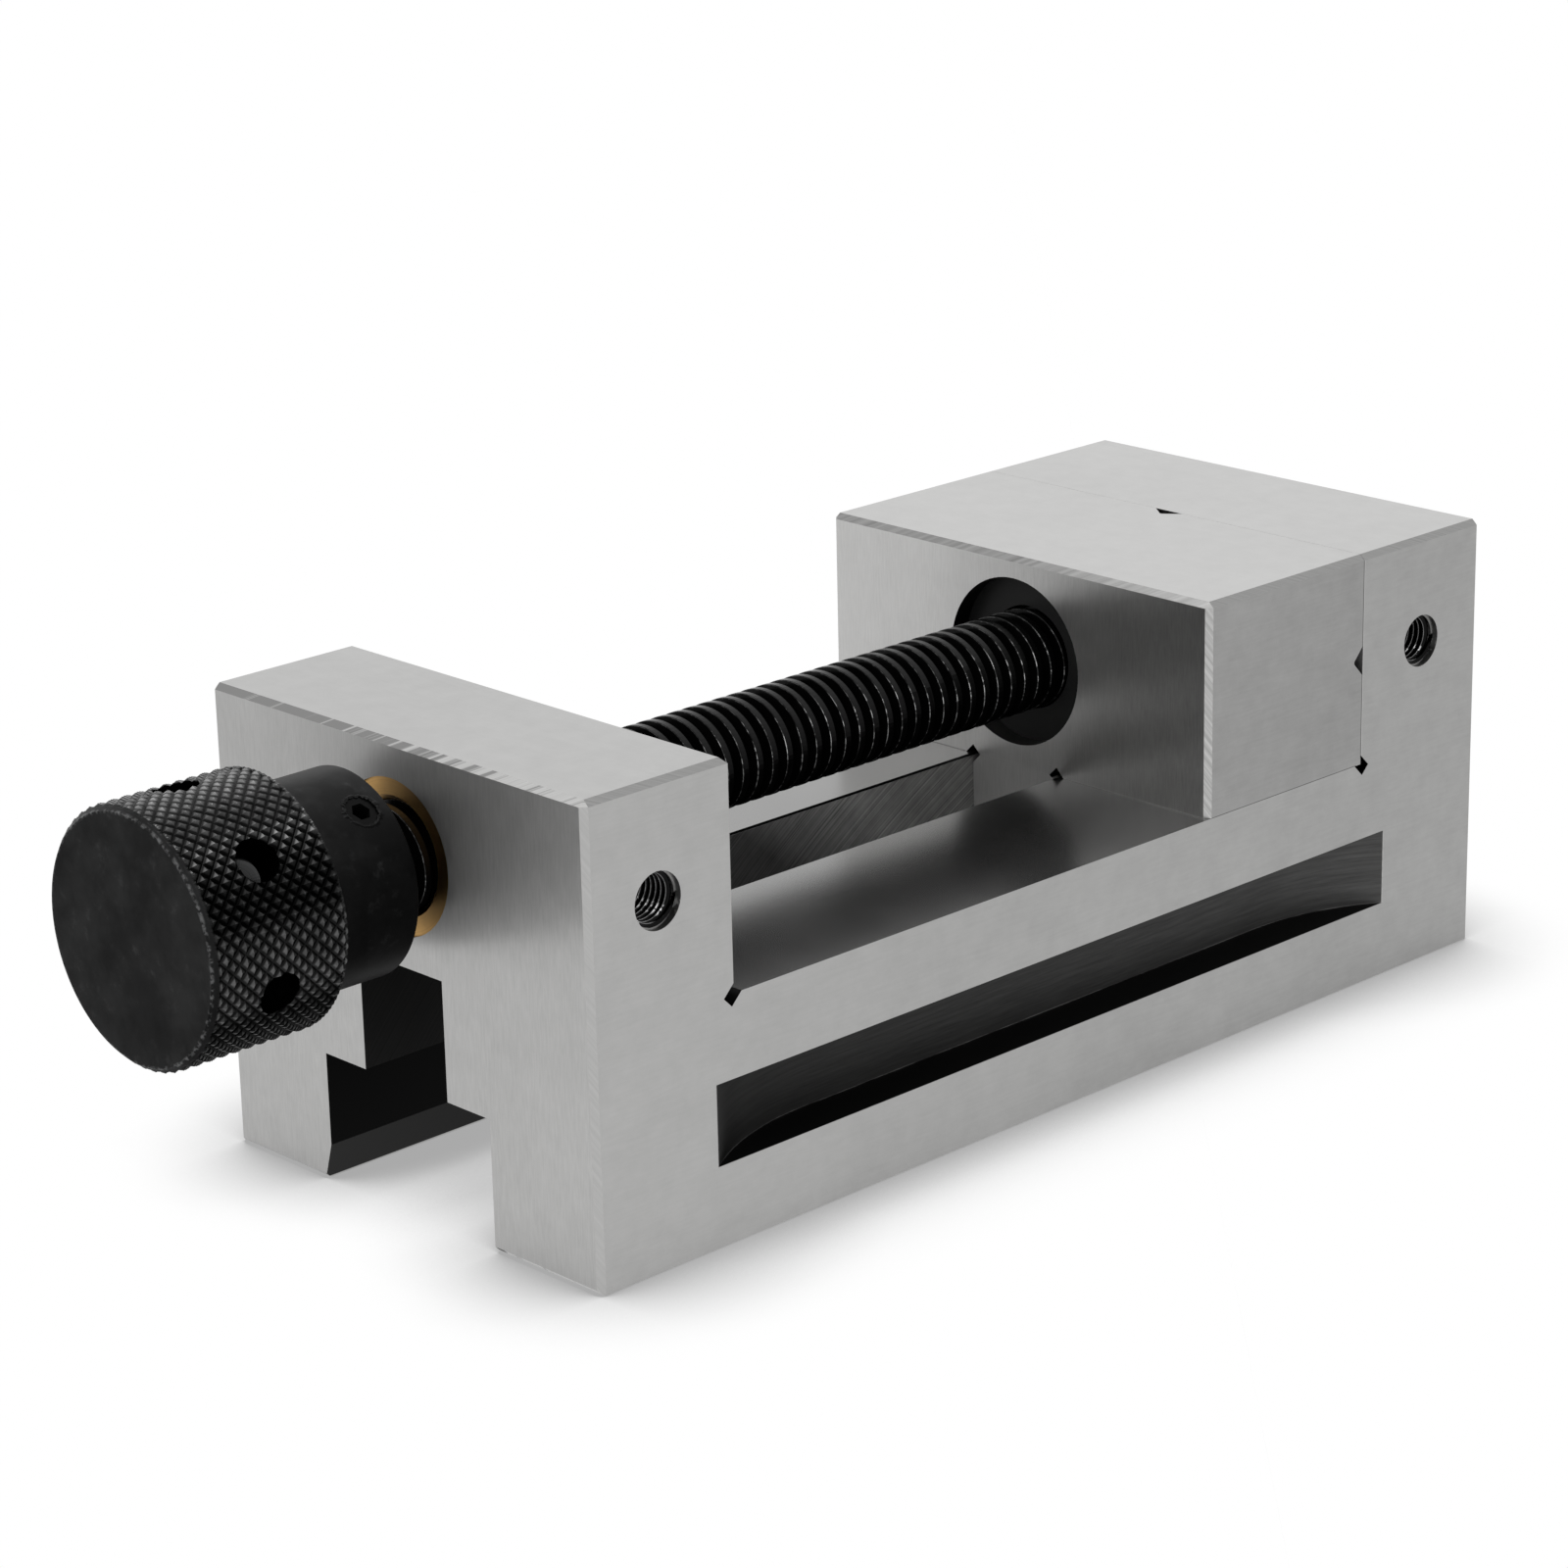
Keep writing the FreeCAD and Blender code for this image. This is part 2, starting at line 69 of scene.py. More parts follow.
# Clamping pockets and guide slot, whose cutter left arcs round one centre
POCKET_FRONT = HEAD_FRONT + 22.3 * MM
POCKET_REAR = POCKET_FRONT + 145.4 * MM
POCKET_LOW = 12.3 * MM
POCKET_HIGH = POCKET_LOW + 12.2 * MM
POCKET_DEPTH = 7.0 * MM
SLOT_HALF_WIDTH = 19.8 * MM
SLOT_REAR = -2.0 * MM
LEDGE_HEIGHT = 20.0 * MM
FLARE_HEIGHT = 5.8 * MM
MILL_CENTRE = (70.0 * MM, -175.0 * MM)

# Grooves painted near-black as shade: relief at the jaws' feet, V grooves, grooves beside the
# tongue
RELIEF_LOW = 34.9 * MM
RELIEF_HIGH = 38.6 * MM
VEE_DEPTH = 3.5 * MM
GUIDE_GROOVE_REACH = 10.8 * MM
GUIDE_GROOVE_TOP = 38.8 * MM

# Knob
KNURL_RADIUS = min(KNOB_HIGH[1], KNOB_HIGH[2] - AXIS_Z)
KNURL_LENGTH = 22.3 * MM
COLLAR_RADIUS = 15.0 * MM
KNOB_FRONT = KNOB_LOW[0]
KNURL_REAR = KNOB_FRONT + KNURL_LENGTH
KNOB_REAR = KNOB_HIGH[0]
FRONT_BREAK = 1.0 * MM
REAR_BREAK = 0.5 * MM
SEAT_RADIUS = 6.0 * MM
SEAT_DEPTH = 24.0 * MM
CENTRE_RADIUS = 0.2 * MM
KNURL_STARTS = 52
KNURL_PITCH = 2.13 * MM
KNURL_DEPTH = 0.46 * MM
KNURL_FLAT = 0.04
KNURL_STEPS = 8
TOMMY_HOLES = 6
TOMMY_RADIUS = 3.2 * MM
TOMMY_DEPTH = 6.0 * MM
TOMMY_POINT = 1.8 * MM
TOMMY_FIRST_ANGLE = 20.0
TOMMY_X = (KNOB_FRONT + KNURL_REAR) / 2
SET_SCREW_ANGLE = 127.0
SET_SCREW_RADIUS = 2.5 * MM
SET_SCREW_HOLE_DEPTH = 8.0 * MM
SET_SCREW_HOLE_POINT = 0.1 * MM
DRILL_OVERRUN = 1.5 * MM
DRILL_SIDES = 40
BURR_SIDES = 56

# Lead screw
THREAD_RADIUS = 8.0 * MM
THREAD_LEAD = 3.0 * MM
THREAD_DEPTH = 1.6 * MM
THREAD_AROUND = 72
CREST_SHARE = 0.19
CREST_BREAK = 0.10 * MM
HALF_CREST = CREST_SHARE * THREAD_LEAD
FLANK = THREAD_DEPTH * math.tan(math.radians(15.0))
WELD = 0.004 * MM
THRUST_COLLAR_LENGTH = 6.0 * MM

# Side holes, with their M8 thread
SIDE_HOLE_RADIUS = 4.0 * MM
SIDE_MOUTH_RADIUS = 4.2 * MM
SIDE_MOUTH_DEPTH = 1.2 * MM
SIDE_THREAD_LEAD = 1.0 * MM
SIDE_THREAD_DEPTH = 0.54 * MM
SIDE_THREAD_LENGTH = 13.0 * MM
SIDE_THREAD_AROUND = 48
SIDE_THREAD_RUN_IN = 0.25
SIDE_THREAD_RUN_OUT = 0.5
SIDE_THREAD_OVERLAP = 0.03 * MM
HEAD_HOLE_X = HEAD_FRONT + 12.6 * MM
JAW_HOLE_X = 14.5 * MM

# Camera of the photograph, solved on its edges
CAMERA_PLACE = (-0.52288, -0.45619, 0.25579)
CAMERA_TARGET = (-0.08687, 0.0, 0.04622)
CAMERA_ROLL = -1.287
CAMERA_LENS = 102.12
SENSOR = 36.0

# Light, and the floor with the shadow round what stands on it
LIT_PLACE = (-0.07, 0.0, 0.04)
SKY_GREY = 0.70
PAPER_GREY = 0.90
FLOOR_SIZE = 6.0
FLOOR_HEIGHT = -0.02 * MM
SHADOW_REACH = 27.0 * MM
SHADOW_DEPTH = 0.60
SHADOW_IN_GLOSS = 0.35

# Tones of the steel, as reflectance
SIDE_TONE = 0.43
FRONT_TONE = 0.485
TOP_TONE = 0.50
BED_TONE = 0.27
# Painted shade in the grooves
GROOVE_SHADE_TONE = 0.02
# Painted shade in the side holes
HOLE_SHADE_TONE = 0.01
STEEL_TINT = (1.0, 0.997, 0.985)
BLACK_TINT = (0.98, 0.99, 1.0)
BRONZE_TINT = (0.80, 0.48, 0.17)

# Tool marks, as changes per metre along X, Y and Z
LINES_UP = (1500, 4200, 300)
LINES_ALONG = (150, 1800, 1800)
LINES_ACROSS = (1500, 50, 1500)
FEED_LINES = (90, 90, 1900)
TURNED_LINES = (2600, 90, 90)
SMEARS = (900, 160, 160)

# Marks that change one way only, as changes per metre
STONE_PATCHES = 470.0
STONE_GRAIN = 1500.0
STONE_TICKS = 1100.0
MILL_ARCS = 2600.0
KNOB_TURNING = 5200.0
DRILL_RINGS = 7000.0
FACING_RINGS = 5000.0


def link(obj):
    bpy.context.scene.collection.objects.link(obj)
    return obj


def mesh_object(name, verts, faces):
    mesh = bpy.data.meshes.new(name)
    mesh.from_pydata([tuple(v) for v in verts], [], faces)
    mesh.validate()
    mesh.update()
    return link(bpy.data.objects.new(name, mesh))


def on_axis(x, radius, angle):
    """A point at a radius and an angle from +Y towards +Z about the screw axis."""
    return (x, radius * math.cos(angle), AXIS_Z + radius * math.sin(angle))


def tube_faces(rings, around, closed=False):
    """Faces between rings of points, and from the last ring to the first of a closed tube."""
    faces = []
    for i in range(rings if closed else rings - 1):
        this, following = i * around, (i + 1) % rings * around
        for j in range(around):
            k = (j + 1) % around
            faces.append((this + j, this + k, following + k, following + j))
    return faces


def mend(obj, weld=0.0):
    """Turns the faces outward, after joining points within the weld and closing the holes."""
    bm = bmesh.new()
    bm.from_mesh(obj.data)
    if weld:
        bmesh.ops.remove_doubles(bm, verts=bm.verts, dist=weld)
        bmesh.ops.dissolve_degenerate(bm, edges=bm.edges, dist=weld / 2)
        bmesh.ops.holes_fill(bm, edges=[e for e in bm.edges if e.is_boundary], sides=0)
    bmesh.ops.recalc_face_normals(bm, faces=bm.faces)
    bm.to_mesh(obj.data)
    bm.free()


def apply_modifiers(obj):
    """Keeps what the modifiers make as the object's own mesh."""
    depsgraph = bpy.context.evaluated_depsgraph_get()
    mesh = bpy.data.meshes.new_from_object(obj.evaluated_get(depsgraph))
    obj.modifiers.clear()
    obj.data = mesh


def assign(obj, material):
    """Puts one material on the whole object."""
    if not obj.material_slots:
        obj.data.materials.append(material)
    for slot in obj.material_slots:
        slot.material = material


# Node helpers for the materials
class Nodes:
    """A short way to write node trees: most calls add a node and return its output."""

    def __init__(self, owner, output="ShaderNodeOutputMaterial"):
        owner.use_nodes = True
        self.owner = owner
        self.tree = owner.node_tree
        self.tree.nodes.clear()
        self.output = self.add(output)

    def add(self, kind, **settings):
        node = self.tree.nodes.new(kind)
        for key, value in settings.items():
            setattr(node, key, value)
        return node

    def feed(self, socket, value):
        if isinstance(value, bpy.types.NodeSocket):
            self.tree.links.new(value, socket)
        elif value is not None:
            socket.default_value = value

    def show(self, shader):
        """Makes a shader the tree's result."""
        self.tree.links.new(shader, self.output.inputs[0])

    def mix(self, factor, a, b):
        """A mix of two shaders."""
        node = self.add("ShaderNodeMixShader")
        for socket, value in zip(node.inputs, (factor, a, b)):
            self.feed(socket, value)
        return node.outputs[0]

    def math(self, operation, a, b=None, c=None, clamp=False):
        node = self.add("ShaderNodeMath", operation=operation, use_clamp=clamp)
        for socket, value in zip(node.inputs, (a, b, c)):
            self.feed(socket, value)
        return node.outputs[0]

    def coordinates(self):
        return self.add("ShaderNodeTexCoord").outputs

    def split(self, vector):
        node = self.add("ShaderNodeSeparateXYZ")
        self.feed(node.inputs[0], vector)
        return node.outputs

    def noise(self, vector, scale, detail=2.0, roughness=0.5):
        node = self.add("ShaderNodeTexNoise")
        self.feed(node.inputs["Vector"], vector)
        node.inputs["Scale"].default_value = scale
        node.inputs["Detail"].default_value = detail
        node.inputs["Roughness"].default_value = roughness
        return node.outputs[0]

    def marks(self, vector, per_metre, detail=3.0, roughness=0.6):
        """Noise drawn out into tool marks."""
        node = self.add("ShaderNodeMapping")
        node.inputs["Scale"].default_value = per_metre
        self.feed(node.inputs[0], vector)
        return self.noise(node.outputs[0], 1.0, detail, roughness)

    def ramp(self, value, low, high, out_low=0.0, out_high=1.0):
        """A clamped straight change from out_low at low to out_high at high."""
        node = self.add("ShaderNodeMapRange", clamp=True)
        for key, number in zip(range(1, 5), (low, high, out_low, out_high)):
            node.inputs[key].default_value = number
        self.feed(node.inputs[0], value)
        return node.outputs[0]

    def blend(self, factor, a, b):
        """A mix of two numbers."""
        node = self.add("ShaderNodeMix", data_type="FLOAT")
        self.feed(node.inputs[0], factor)
        self.feed(node.inputs[2], a)
        self.feed(node.inputs[3], b)
        return node.outputs[0]

    def grey(self, value, tint=(1.0, 1.0, 1.0)):
        """A colour from a brightness and a constant tint."""
        node = self.add("ShaderNodeCombineColor")
        for socket, part in zip(node.inputs, tint):
            self.feed(socket, self.math("MULTIPLY", value, part))
        return node.outputs[0]

    def bump(self, height, distance, strength):
        node = self.add("ShaderNodeBump")
        node.inputs["Strength"].default_value = strength
        node.inputs["Distance"].default_value = distance
        self.feed(node.inputs["Height"], height)
        return node.outputs[0]

    def surface(self, color, roughness, metallic, normal, specular=0.5, anisotropic=0.0,
                tangent=None):
        shader = self.add("ShaderNodeBsdfPrincipled")
        self.feed(shader.inputs["Base Color"], color)
        self.feed(shader.inputs["Roughness"], roughness)
        self.feed(shader.inputs["Metallic"], metallic)
        self.feed(shader.inputs["Specular IOR Level"], specular)
        self.feed(shader.inputs["Anisotropic"], anisotropic)
        self.feed(shader.inputs["Normal"], normal)
        self.feed(shader.inputs["Tangent"], tangent)
        self.show(shader.outputs[0])
        return self.owner


def material_nodes(name):
    return Nodes(bpy.data.materials.new(name))


def any_of(n, masks):
    """The greatest of some masks."""
    total = masks[0]
    for mask in masks[1:]:
        total = n.math("MAXIMUM", total, mask)
    return total


def below(n, value, limit, soft=HAIR):
    """1 where value is less than the limit, fading out over a short way past it."""
    return n.ramp(value, limit, limit + soft, 1.0, 0.0)


def above(n, value, limit, soft=HAIR):
    """0 where value is less than the limit, fading in over a short way past it."""
    return n.ramp(value, limit, limit + soft)


def inside(n, value, low, high, soft):
    """1 where value lies between low and high, with soft edges."""
    rising = n.ramp(value, low - soft, low + soft)
    falling = n.ramp(value, high - soft, high + soft, 1.0, 0.0)
    return n.math("MULTIPLY", rising, falling)


def product(n, *masks):
    """1 where all of some masks are."""
    total = masks[0]
    for mask in masks[1:]:
        total = n.math("MULTIPLY", total, mask)
    return total


def inverse(n, mask):
    return n.math("SUBTRACT", 1.0, mask)


def around_zero(n, noise, amount):
    """A noise value turned into a change of tone either side of nothing."""
    return n.math("MULTIPLY", n.math("SUBTRACT", noise, 0.5), amount)


def stripes(n, value, frequency, detail=3.0, roughness=0.6):
    """Noise that varies only with one value."""
    vector = n.add("ShaderNodeCombineXYZ")
    n.feed(vector.inputs[0], n.math("MULTIPLY", value, frequency))
    return n.noise(vector.outputs[0], 1.0, detail, roughness)


def distance_to(n, a, b, centre_a, centre_b):
    """How far a place lies from a straight line along the third axis."""
    da = n.math("SUBTRACT", a, centre_a)
    db = n.math("SUBTRACT", b, centre_b)
    return n.math("SQRT", n.math("ADD", n.math("MULTIPLY", da, da), n.math("MULTIPLY", db, db)))


def from_screw_axis(n, y, z):
    return distance_to(n, y, z, 0.0, AXIS_Z)


def from_side_holes(n, x, z):
    """How far a place lies from the axis of the nearer side hole."""
    return n.math("MINIMUM", distance_to(n, x, z, HEAD_HOLE_X, AXIS_Z),
                  distance_to(n, x, z, JAW_HOLE_X, AXIS_Z))


class SteelPoint:
    """Where a shaded point of the steel lies, which way its face looks, and its mottling."""

    def __init__(self, n):
        coords = n.coordinates()
        self.place = coords["Object"]
        self.x, self.y, self.z = n.split(self.place)
        self.width = n.math("ABSOLUTE", self.y)
        self.nx, ny, self.nz = n.split(coords["Normal"])
        ax, self.ay, az = (n.math("ABSOLUTE", v) for v in (self.nx, ny, self.nz))
        self.is_front, self.is_side, self.is_flat = (
            n.ramp(facing, 0.8, 0.95) for facing in (ax, self.ay, az))
        self.is_edge = inverse(n, any_of(n, [self.is_front, self.is_side, self.is_flat]))
        self.mottle = n.noise(self.place, 240.0, 4.0, 0.65)
        self.clouds = n.noise(self.place, 26.0, 3.0, 0.5)


# Masks of the steel: 1 on one kind of place, 0 elsewhere
def jaw_mask(n, at):
    return product(n, inside(n, at.x, JAW_FRONT - MM, 0.0, HAIR),
                   above(n, at.z, BED_HEIGHT + HAIR))


def bed_mask(n, at):
    return product(n, at.is_flat, inside(n, at.z, BED_HEIGHT - MM, BED_HEIGHT + MM, HAIR),
                   inside(n, at.x, HEAD_REAR, JAW_HIGH[0], HAIR))


def groove_mask(n, at):
    in_guide = product(n, below(n, at.width, GUIDE_GROOVE_REACH, 2 * HAIR),
                       below(n, at.z, GUIDE_GROOVE_TOP, 2 * HAIR))
    in_vee = product(n, n.ramp(at.nx, 0.3, 0.4), inside(n, at.x, -VEE_DEPTH, HAIR, HAIR))
    in_relief = product(n, inside(n, at.z, RELIEF_LOW, RELIEF_HIGH, HAIR),
                        n.ramp(at.ay, 0.05, 0.10, 1.0, 0.0))
    return product(n, at.is_edge, any_of(n, [in_guide, in_vee, in_relief]))


def slot_mask(n, at):
    return product(n, below(n, at.x, SLOT_REAR + HAIR), below(n, at.width, SLOT_HALF_WIDTH),
                   below(n, at.z, BED_HEIGHT - 4 * HAIR), above(n, at.z, 2 * HAIR),
                   inverse(n, at.is_front))


def pocket_mask(n, at):
    return product(n, inside(n, at.width, HALF_WIDTH - POCKET_DEPTH - MM,
                             HALF_WIDTH - 0.08 * MM, 0.04 * MM),
                   inside(n, at.z, POCKET_LOW - 2 * HAIR, POCKET_HIGH + 2 * HAIR, HAIR),
                   inside(n, at.x, POCKET_FRONT - MM, POCKET_REAR + MM, HAIR))


def hole_mask(n, at):
    return product(n, below(n, from_side_holes(n, at.x, at.z), SIDE_MOUTH_RADIUS + 0.01 * MM,
                            0.03 * MM),
                   below(n, at.width, HALF_WIDTH - 0.06 * MM, 0.04 * MM),
                   above(n, at.width, HALF_WIDTH / 2, MM))


def bore_mask(n, at):
    return product(n, below(n, from_screw_axis(n, at.y, at.z), RING_RADIUS + 3 * HAIR),
                   inverse(n, at.is_front))


# Tones of the steel
def face_tone(n, at, lines, on_jaw):
    """Tone of the ground faces, brushed and mottled, with painted shade: the sides darken towards
    the fixed jaw and more on the movable jaw, and the movable jaw's front darkens towards the near
    side.
    """
    # Painted shade: the sides darken towards the fixed jaw, more on the movable jaw.
    side = n.ramp(at.x, -150 * MM, 0.0, SIDE_TONE, SIDE_TONE * 0.79)
    side = n.math("MULTIPLY", side, n.blend(on_jaw, 1.0, 0.85))
    # Painted shade: the movable jaw's front darkens towards the near side.
    front = n.blend(on_jaw, FRONT_TONE, n.ramp(at.y, -38 * MM, 20 * MM, 0.29, 0.60))
    top = n.ramp(at.x, HEAD_REAR, HEAD_REAR + 20 * MM, TOP_TONE * 0.88, TOP_TONE)
    tone = n.blend(at.is_flat, n.blend(at.is_front, side, front), top)
    for noise, amount in ((lines, n.blend(at.is_front, 0.06, 0.17)), (at.mottle, 0.08),
                          (at.clouds, 0.05)):
        tone = n.math("ADD", tone, around_zero(n, noise, amount))
    return tone


def hand_ground_edges(n, at):
    """Tone of the broken edges: slanted patches left by the stone."""
    x, y, z = at.x, at.y, at.z
    slanted = n.math("ADD", n.math("ADD", x, n.math("MULTIPLY", y, 1.15)),
                     n.math("MULTIPLY", z, 1.4))
    patches = stripes(n, slanted, STONE_PATCHES)
    fine = stripes(n, slanted, STONE_GRAIN)
    # The front top edges are dark at the far end and light at the near corner.
    threshold = n.ramp(y, -36 * MM, 26 * MM, 0.58, 0.37)
    dark = n.math("ADD", 0.5, n.math("MULTIPLY", n.math("SUBTRACT", patches, threshold), 16.0),
                  clamp=True)
    front_top = n.blend(dark, n.math("ADD", 0.50, around_zero(n, fine, 0.30)),
                        n.ramp(y, -40 * MM, -10 * MM, 0.29, 0.235))
    ticks = stripes(n, n.math("ADD", z, n.math("SUBTRACT", x, y)), STONE_TICKS)
    upright = n.blend(n.ramp(ticks, 0.42, 0.60), n.ramp(x, -60 * MM, -40 * MM, 0.43, 0.38),
                      n.ramp(x, -60 * MM, -40 * MM, 0.47, 0.54))
    side_top = n.math("ADD", 0.29, around_zero(n, fine, 0.20))
    jaw_top = n.math("ADD", n.ramp(y, -38 * MM, 0.0, 0.43, 0.27), around_zero(n, patches, 0.45))
    front_top = n.blend(above(n, x, JAW_FRONT - 2 * MM, MM), front_top, jaw_top)
    is_upright = n.ramp(n.math("ABSOLUTE", at.nz), 0.2, 0.3, 1.0, 0.0)
    is_end_edge = n.ramp(n.math("ABSOLUTE", at.nx), 0.2, 0.3)
    return n.blend(is_upright, n.blend(is_end_edge, side_top, front_top), upright)


def joint_lines(n, at, tone):
    """The joint between the jaws with a painted highlight beside it, painted light over it on the
    top, and the line of the movable jaw's foot on the bed.
    """
    above_bed = above(n, at.z, BED_HEIGHT + MM)
    joint_side = n.math("MULTIPLY", at.is_side, above_bed)
    dark_line = inside(n, at.x, -0.14 * MM, 0.04 * MM, 0.02 * MM)
    # The light line just past the joint is a painted highlight on the edge.
    light_line = inside(n, at.x, 0.06 * MM, 0.20 * MM, 0.02 * MM)
    tone = n.blend(n.math("MULTIPLY", joint_side, dark_line), tone, 0.14)
    tone = n.blend(n.math("MULTIPLY", joint_side, light_line), tone, 0.46)
    # On the top, painted light beside the joint cancels the shade in its gap, so that it hardly
    # shows.
    joint_top = product(n, at.is_flat, above_bed,
                        inside(n, at.x, -0.14 * MM, 0.14 * MM, 0.05 * MM))
    tone = n.math("MULTIPLY", tone, n.blend(joint_top, 1.0, 1.09))
    jaw_foot = product(n, at.is_side, inside(n, at.x, JAW_FRONT + 0.8 * MM, -1.2 * MM, HAIR),
                       inside(n, at.z, BED_HEIGHT - 0.02 * MM, BED_HEIGHT + 0.12 * MM, 0.02 * MM))
    return n.blend(jaw_foot, tone, 0.15)


def slot_tone(n, at, mill_marks):
    """Tone of the guide slot's milled walls, painted darker towards the head and down as shade."""
    slanted = n.math("MULTIPLY_ADD", n.math("SUBTRACT", at.z, 30 * MM), 1.2, at.x)
    tone = n.math("MULTIPLY", n.ramp(mill_marks, 0.34, 0.66, 0.14, 0.55),
                  n.ramp(slanted, -80 * MM, -56 * MM, 0.22, 1.10))
    # Inside the head the walls are painted near-black as shade.
    tone = n.blend(below(n, at.x, HEAD_REAR - 2 * HAIR, 2 * HAIR), tone,
                   n.ramp(mill_marks, 0.32, 0.68, 0.020, 0.036))
    # Below the ledge the walls are painted near-black as shade, a little lighter at the flare near
    # the head's front.
    flare_tone = n.ramp(at.x, HEAD_FRONT, HEAD_FRONT + 60 * MM, 0.030, 0.006)
    lower_wall = n.blend(below(n, at.z, FLARE_HEIGHT - HAIR), 0.005, flare_tone)
    return n.blend(below(n, at.z, LEDGE_HEIGHT - 2 * HAIR), tone, lower_wall)


def pocket_tone(n, at):
    """Tone of the pockets, painted dark as shade and lighter towards the rear, darkest on their
    flat faces: feed lines along the wall and a bright line above the ledge.
    """
    feed = n.marks(at.place, FEED_LINES, 4.0, 0.7)
    tone = n.math("MULTIPLY", n.ramp(feed, 0.3, 0.7, 0.75, 1.25),
                  n.ramp(at.x, POCKET_FRONT, POCKET_REAR, 0.037, 0.076))
    corner = inside(n, at.z, POCKET_LOW, POCKET_LOW + 0.13 * MM, 0.04 * MM)
    tone = n.blend(product(n, corner, n.ramp(feed, 0.42, 0.55)), tone, 0.22)
    return n.blend(at.is_flat, tone, 0.010)


def hole_tone(n, at):
    """Tone of the side holes: painted black as shade behind a bright mouth, with a few painted
    glints.
    """
    mouth = above(n, at.width, HALF_WIDTH - SIDE_MOUTH_DEPTH - 6 * HAIR, 2 * HAIR)
    tone = n.blend(mouth, HOLE_SHADE_TONE, n.ramp(at.mottle, 0.3, 0.7, 0.30, 0.45))
    # Painted glints low down in the mouth.
    painted_glints = product(n, mouth, n.ramp(n.noise(at.place, 1500.0), 0.50, 0.55),
                     inside(n, at.z, AXIS_Z - 2.8 * MM, AXIS_Z - 0.8 * MM, 0.3 * MM))
    return n.blend(painted_glints, tone, 0.98)


def ground_steel():
    """Surface-ground steel: brushed faces, hand-ground edges, milled recesses painted dark as
    shade.
    """
    n = material_nodes("ground_steel")
    at = SteelPoint(n)
    lines = n.blend(at.is_flat, n.blend(at.is_front, n.marks(at.place, LINES_ALONG),
                                        n.marks(at.place, LINES_UP)),
                    n.marks(at.place, LINES_ACROSS))
    arcs = stripes(n, distance_to(n, at.x, at.z, *MILL_CENTRE), MILL_ARCS)
    mill_marks = n.math("MULTIPLY_ADD", arcs, 0.82, n.math("MULTIPLY", at.mottle, 0.18))
    on_jaw, in_bed = jaw_mask(n, at), bed_mask(n, at)
    in_slot, in_pocket, in_hole = slot_mask(n, at), pocket_mask(n, at), hole_mask(n, at)

    tone = n.blend(at.is_edge, face_tone(n, at, lines, on_jaw), hand_ground_edges(n, at))
    tone = joint_lines(n, at, tone)
    # The bed is ground finer than the rest, almost to a mirror.
    tone = n.blend(in_bed, tone, n.math("ADD", BED_TONE, around_zero(n, at.clouds, 0.10)))
    # The grooves are painted near-black as shade.
    tone = n.blend(groove_mask(n, at), tone, GROOVE_SHADE_TONE)
    tone = n.blend(in_slot, tone, slot_tone(n, at, mill_marks))
    tone = n.blend(in_pocket, tone, pocket_tone(n, at))
    tone = n.blend(in_hole, tone, hole_tone(n, at))
    # The bore's walls: painted shade, darker where they look down, lighter where they look up.
    tone = n.blend(bore_mask(n, at), tone, n.ramp(at.nz, 0.0, 0.6, 0.035, 0.15))

    front_roughness = n.blend(on_jaw, 0.38, 0.34)
    roughness = n.math("ADD", n.blend(at.is_front, 0.27, front_roughness),
                       n.math("MULTIPLY", lines, 0.08))
    bed_roughness = n.math("ADD", 0.18, n.math("MULTIPLY", at.clouds, 0.09))
    roughness = n.blend(in_bed, roughness, bed_roughness)
    roughness = n.blend(any_of(n, [in_slot, in_pocket]), roughness, 0.55)
    roughness = n.blend(in_hole, roughness, 0.30)
    height = n.blend(in_bed, n.blend(in_slot, lines, n.math("MULTIPLY", mill_marks, 4.0)), 0.5)
    tangent = n.add("ShaderNodeCombineXYZ")
    along_x = any_of(n, [at.is_flat, at.is_edge])
    for socket, part in zip(tangent.inputs, (along_x, at.is_front, at.is_side)):
        n.feed(socket, part)
    return n.surface(n.grey(tone, STEEL_TINT), roughness, 1.0, n.bump(height, 0.004 * MM, 0.6),
                     anisotropic=n.blend(at.is_front, 0.35, 0.85), tangent=tangent.outputs[0])


def painted_sheen_from_above(n, low, high):
    """Reflectance of oiled black, painted as light from above: full where a face looks up, little
    where it looks down, as painted shade.
    """
    up = n.split(n.add("ShaderNodeNewGeometry").outputs["Normal"])[2]
    return n.ramp(up, -0.15, 0.75, low, high)


def black_oxide(name, shine, base=0.001):
    """Oiled black oxide on turned steel, for the small pieces, with a painted sheen where faces
    look up.
    """
    n = material_nodes(name)
    place = n.coordinates()["Object"]
    cloud = n.noise(place, 160.0, 4.0, 0.6)
    turned = n.marks(place, TURNED_LINES, 2.0, 0.5)
    tone = n.math("ADD", base, n.math("MULTIPLY", cloud, 0.004))
    rough = n.math("ADD", 0.25, n.math("MULTIPLY", cloud, 0.16))
    return n.surface(n.grey(tone), rough, 0.0, n.bump(turned, 0.010 * MM, 0.5),
                     specular=painted_sheen_from_above(n, 0.02, shine))


